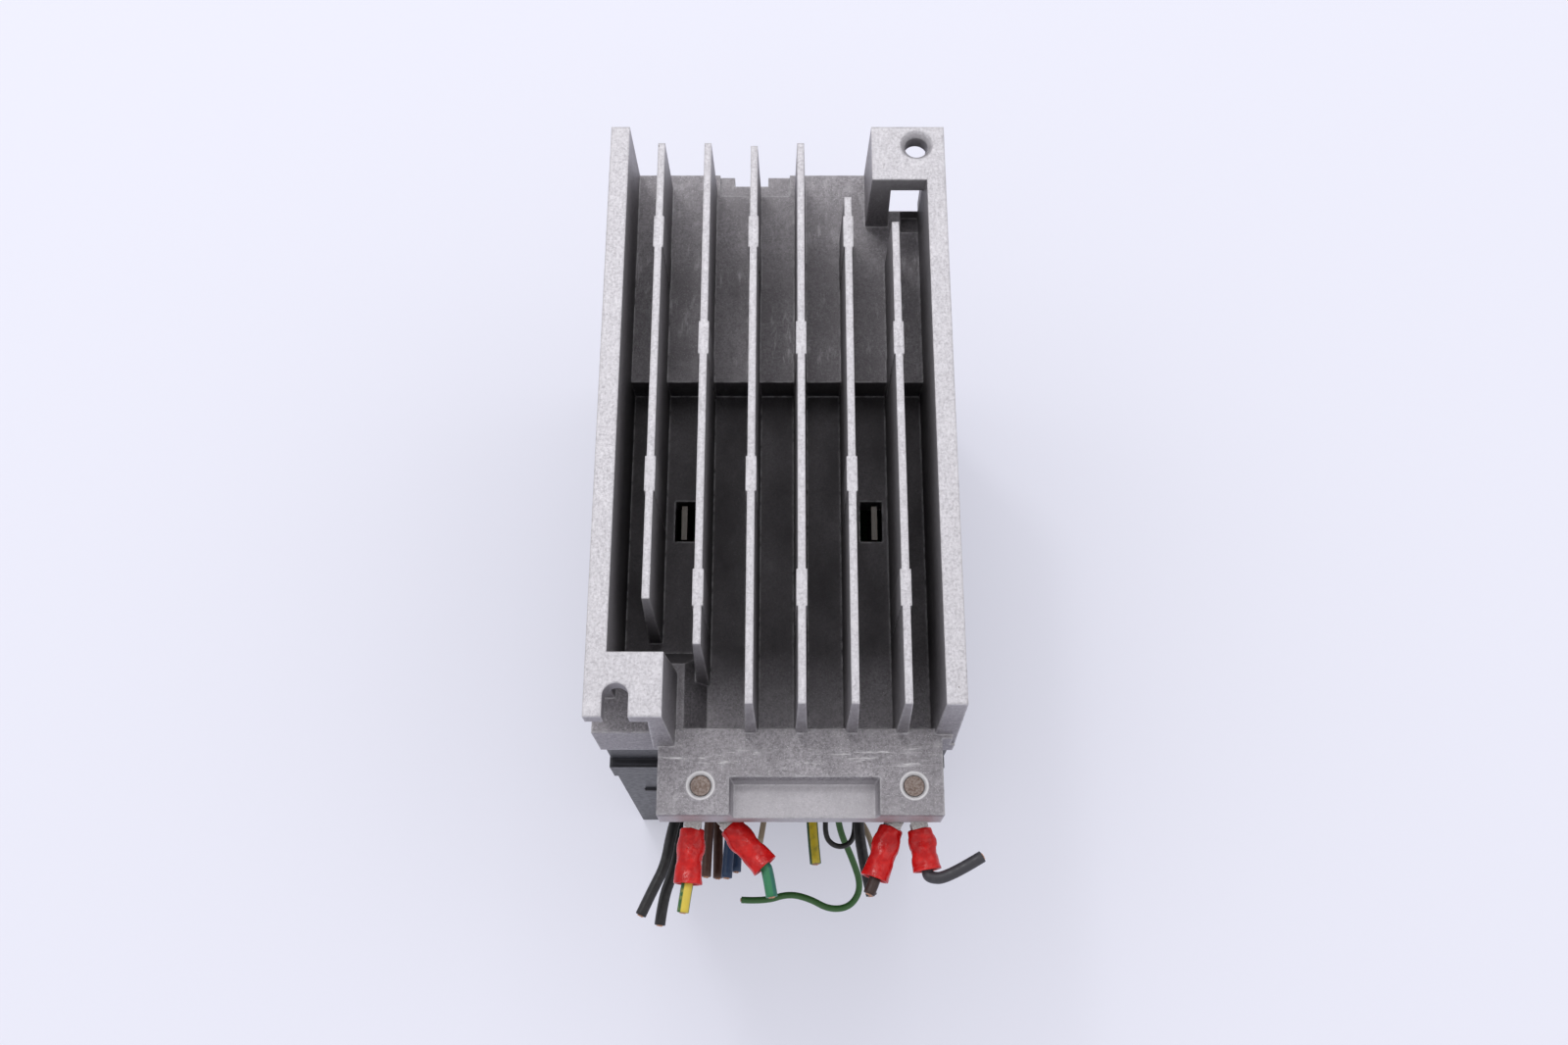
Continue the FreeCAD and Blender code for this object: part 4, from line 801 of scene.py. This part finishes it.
def ticks_on_arc(name, count, radius, tick_length, tick_width, sweep, material):
    """Flat ticks pointing outwards, evenly spaced on an arc that opens towards the wiring end."""
    group = bpy.data.node_groups.new(name, "GeometryNodeTree")
    face = group.interface
    values = {"Count": count, "Radius": radius, "Tick Length": tick_length, "Tick Width": tick_width,
              "Sweep": sweep, "Thickness": INK}
    for label, value in values.items():
        kind = "NodeSocketInt" if isinstance(value, int) else "NodeSocketFloat"
        face.new_socket(label, in_out="INPUT", socket_type=kind).default_value = value
    face.new_socket("Geometry", in_out="OUTPUT", socket_type="NodeSocketGeometry")
    nodes, links = group.nodes, group.links
    given = nodes.new("NodeGroupInput")
    arc = nodes.new("GeometryNodeCurveArc")
    arc.inputs["Resolution"].default_value = 96
    links.new(given.outputs["Radius"], arc.inputs["Radius"])
    links.new(given.outputs["Sweep"], arc.inputs["Sweep Angle"])
    half = arithmetic(group, "MULTIPLY", given.outputs["Sweep"], -0.5)
    links.new(arithmetic(group, "ADD", half, math.pi / 2), arc.inputs["Start Angle"])
    points = nodes.new("GeometryNodeCurveToPoints")
    links.new(arc.outputs["Curve"], points.inputs["Curve"])
    links.new(given.outputs["Count"], points.inputs["Count"])
    turn = nodes.new("FunctionNodeAlignRotationToVector")
    turn.axis = "X"
    links.new(points.outputs["Tangent"], turn.inputs["Vector"])
    size = nodes.new("ShaderNodeCombineXYZ")
    for axis, label in zip("XYZ", ("Tick Width", "Tick Length", "Thickness")):
        links.new(given.outputs[label], size.inputs[axis])
    tick = nodes.new("GeometryNodeMeshCube")
    links.new(size.outputs[0], tick.inputs["Size"])
    placed = nodes.new("GeometryNodeInstanceOnPoints")
    links.new(points.outputs["Points"], placed.inputs["Points"])
    links.new(tick.outputs["Mesh"], placed.inputs["Instance"])
    links.new(turn.outputs["Rotation"], placed.inputs["Rotation"])
    real = nodes.new("GeometryNodeRealizeInstances")
    links.new(placed.outputs["Instances"], real.inputs["Geometry"])
    inked = nodes.new("GeometryNodeSetMaterial")
    inked.inputs["Material"].default_value = material
    links.new(real.outputs["Geometry"], inked.inputs["Geometry"])
    links.new(inked.outputs["Geometry"], nodes.new("NodeGroupOutput").inputs["Geometry"])
    holder = new_object(name, bpy.data.meshes.new(name))
    modifier = holder.modifiers.new(name, "NODES")
    modifier.node_group = group
    mesh = bpy.data.meshes.new_from_object(holder.evaluated_get(bpy.context.evaluated_depsgraph_get()))
    holder.modifiers.clear()
    holder.data = mesh
    return holder


scale = ticks_on_arc(
    "dial_scale", count=11, radius=8.9 * MM, tick_length=1.3 * MM, tick_width=0.35 * MM,
    sweep=math.radians(300), material=WHITE_INK)
scale.data.transform(Matrix.Translation((*DIAL, PANEL_FACE - INK / 2)))
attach(scale, "drive")


def printed_shape(name, corners_mm, face_z, material, body):
    """A thin flat shape on a face that looks down, from corner outlines in millimetres."""
    bm = bmesh.new()
    for outline in corners_mm:
        low = [bm.verts.new((x * MM, y * MM, face_z - INK)) for x, y in outline]
        high = [bm.verts.new((x * MM, y * MM, face_z)) for x, y in outline]
        bm.faces.new(low)
        bm.faces.new(reversed(high))
        for step in range(len(outline)):
            corner = (step + 1) % len(outline)
            bm.faces.new((low[step], high[step], high[corner], low[corner]))
    bmesh.ops.recalc_face_normals(bm, faces=bm.faces)
    mesh = bpy.data.meshes.new(name)
    bm.to_mesh(mesh)
    bm.free()
    mesh.materials.append(material)
    shape = new_object(name, mesh)
    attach(shape, body)
    return shape


def block(x0, x1, y0, y1):
    """The corners of a rectangle."""
    return [(x0, y0), (x1, y0), (x1, y1), (x0, y1)]


printed_shape(
    "dial_pointer", [block(18.7, 19.3, 26.2, 30.2)], DIAL_FACE, WHITE_INK, "speed_dial")

# ---- Key marks -------------------------------------------------------------------------------
# Plain marks printed on the keys: a triangle for run, a square for stop, bars, arrows and a
# corner arrow.

KEY_FACE = 0.7 * MM
key_marks = {
    "key_run": [[(-24.0, 18.0), (-20.6, 16.2), (-20.6, 19.8)]],
    "key_stop": [block(-13.1, -9.9, 16.4, 19.6)],
    "key_menu": [block(-2.8, 0.8, y, y + 0.5) for y in (16.5, 17.75, 19.0)],
    "key_up": [[(-23.9, 28.3), (-20.1, 28.3), (-22.0, 31.1)]],
    "key_down": [[(-13.4, 30.7), (-11.5, 27.9), (-9.6, 30.7)]],
    "key_enter": [
        block(-1.9, 1.0, 28.6, 29.2), block(-2.5, -1.9, 28.6, 31.0), [(1.0, 27.8), (2.2, 28.9), (1.0, 30.0)]],
}
DARK_INK, tree, shader = new_material("dark_ink", (0.03, 0.03, 0.035), 0.6)
raise_surface(tree, shader, noise(tree, 0.3, 2), 0.004, 0.4)
for name, outlines in key_marks.items():
    ink = WHITE_INK if name in ("key_run", "key_stop") else DARK_INK
    printed_shape(name + "_mark", outlines, KEY_FACE, ink, name)

# ---- Display digits --------------------------------------------------------------------------
# Four seven-bar digits on the face of the module behind the window. The lit bars glow red, and
# the others stay dark.

LIT, tree, shader = new_material("lit_bars", (0.8, 0.03, 0.02), 0.4)
shader.inputs["Emission Color"].default_value = (1.0, 0.06, 0.03, 1)
shader.inputs["Emission Strength"].default_value = 2.5
UNLIT, tree, shader = new_material("unlit_bars", (0.10, 0.02, 0.02), 0.4)
# the bars of a digit, as top, upper left, upper right, middle, lower left, lower right, bottom
DIGIT_BARS = {"0": "1110111", "5": "1101011"}
digit_high, digit_wide, digit_pitch = 7.2, 4.2, 7.0
bar, gap = 0.75, 0.2
first_left, low = 12.6, 49.2
high, middle = low + digit_high, low + digit_high / 2
lit_shapes, unlit_shapes = [], []
for place, digit in enumerate("0500"):
    # the reader looks from below, so the digits run towards minus X
    left = first_left - place * digit_pitch
    right = left - digit_wide
    bars = (
        block(right + bar, left - bar, high - bar, high),
        block(left - bar, left, middle + gap, high - gap),
        block(right, right + bar, middle + gap, high - gap),
        block(right + bar, left - bar, middle - bar / 2, middle + bar / 2),
        block(left - bar, left, low + gap, middle - gap), block(right, right + bar, low + gap, middle - gap),
        block(right + bar, left - bar, low, low + bar),
    )
    for shape, on in zip(bars, DIGIT_BARS[digit]):
        (lit_shapes if on == "1" else unlit_shapes).append(shape)
MODULE_FACE = 4.0 * MM
printed_shape("lit_digits", lit_shapes, MODULE_FACE, LIT, "drive")
printed_shape("unlit_digits", unlit_shapes, MODULE_FACE, UNLIT, "drive")

# ---- Boards ----------------------------------------------------------------------------------
# Three glass-epoxy boards under green solder resist, with faint tracks: the operator board, the
# control board and the power board.


def board_laminate():
    """Green resist over a faint grid of tracks."""
    finish, tree, shader = new_material("board_laminate", (0.014, 0.10, 0.045), 0.32)
    split = tree.nodes.new("ShaderNodeTexBrick")
    split.inputs["Scale"].default_value = 0.28
    split.inputs["Mortar Size"].default_value = 0.08
    tree.links.new(object_coordinates(tree), split.inputs["Vector"])
    tracks = ranged(tree, split.outputs["Fac"], 0.2, 0.6)
    tree.links.new(
        blended(tree, tracks, (0.012, 0.085, 0.038), (0.03, 0.15, 0.07)), shader.inputs["Base Color"])
    raise_surface(tree, shader, tracks, 0.03, 0.6)
    return finish


laminate = board_laminate()
for name in ("operator_board", "control_board", "power_board"):
    plain_finish(name, laminate)

# ---- Parts on the boards ---------------------------------------------------------------------
# Bought-in parts on and round the boards: moulded cases, sleeved cans, a wound core, a soft
# thermal pad, turned brass standoffs and plated screws.

black_moulding = moulded_plastic("black_moulding", (0.02, 0.02, 0.022), 0.5)
for name in (
        "control_chips", "key_switches", "charge_relay", "output_relay", "rectifier_bridge", "power_module",
        "mode_switch_body", "board_connector", "speed_potentiometer"):
    plain_finish(name, black_moulding)
pale_moulding = moulded_plastic("pale_moulding", (0.55, 0.55, 0.52), 0.5)
plain_finish("mode_switch_slider", pale_moulding)
terminal_green = moulded_plastic("terminal_green", (0.03, 0.22, 0.09), 0.45)
plain_finish("control_terminals", terminal_green)
plain_finish("power_terminals", moulded_plastic("terminal_black", (0.03, 0.03, 0.034), 0.45))
plain_finish("film_capacitors", moulded_plastic("film_capacitor_plastic", (0.42, 0.30, 0.02), 0.45))
plain_finish("bus_capacitors", moulded_plastic("capacitor_sleeve", (0.025, 0.03, 0.075), 0.3))
plain_finish("switching_transformer", moulded_plastic("transformer_tape", (0.42, 0.34, 0.06), 0.45))
plain_finish("filter_choke", moulded_plastic("choke_core", (0.06, 0.11, 0.06), 0.45))
plain_finish("thermal_pad", moulded_plastic("thermal_silicone", (0.30, 0.31, 0.33), 0.7))
plain_finish("board_standoffs", brushed_metal("turned_brass", (0.68, 0.50, 0.22), (0.45, 0.32, 0.13), 0.35))
for name in ("board_screws", "panel_screws", "control_terminal_screws", "power_terminal_screws"):
    plain_finish(name, zinc)
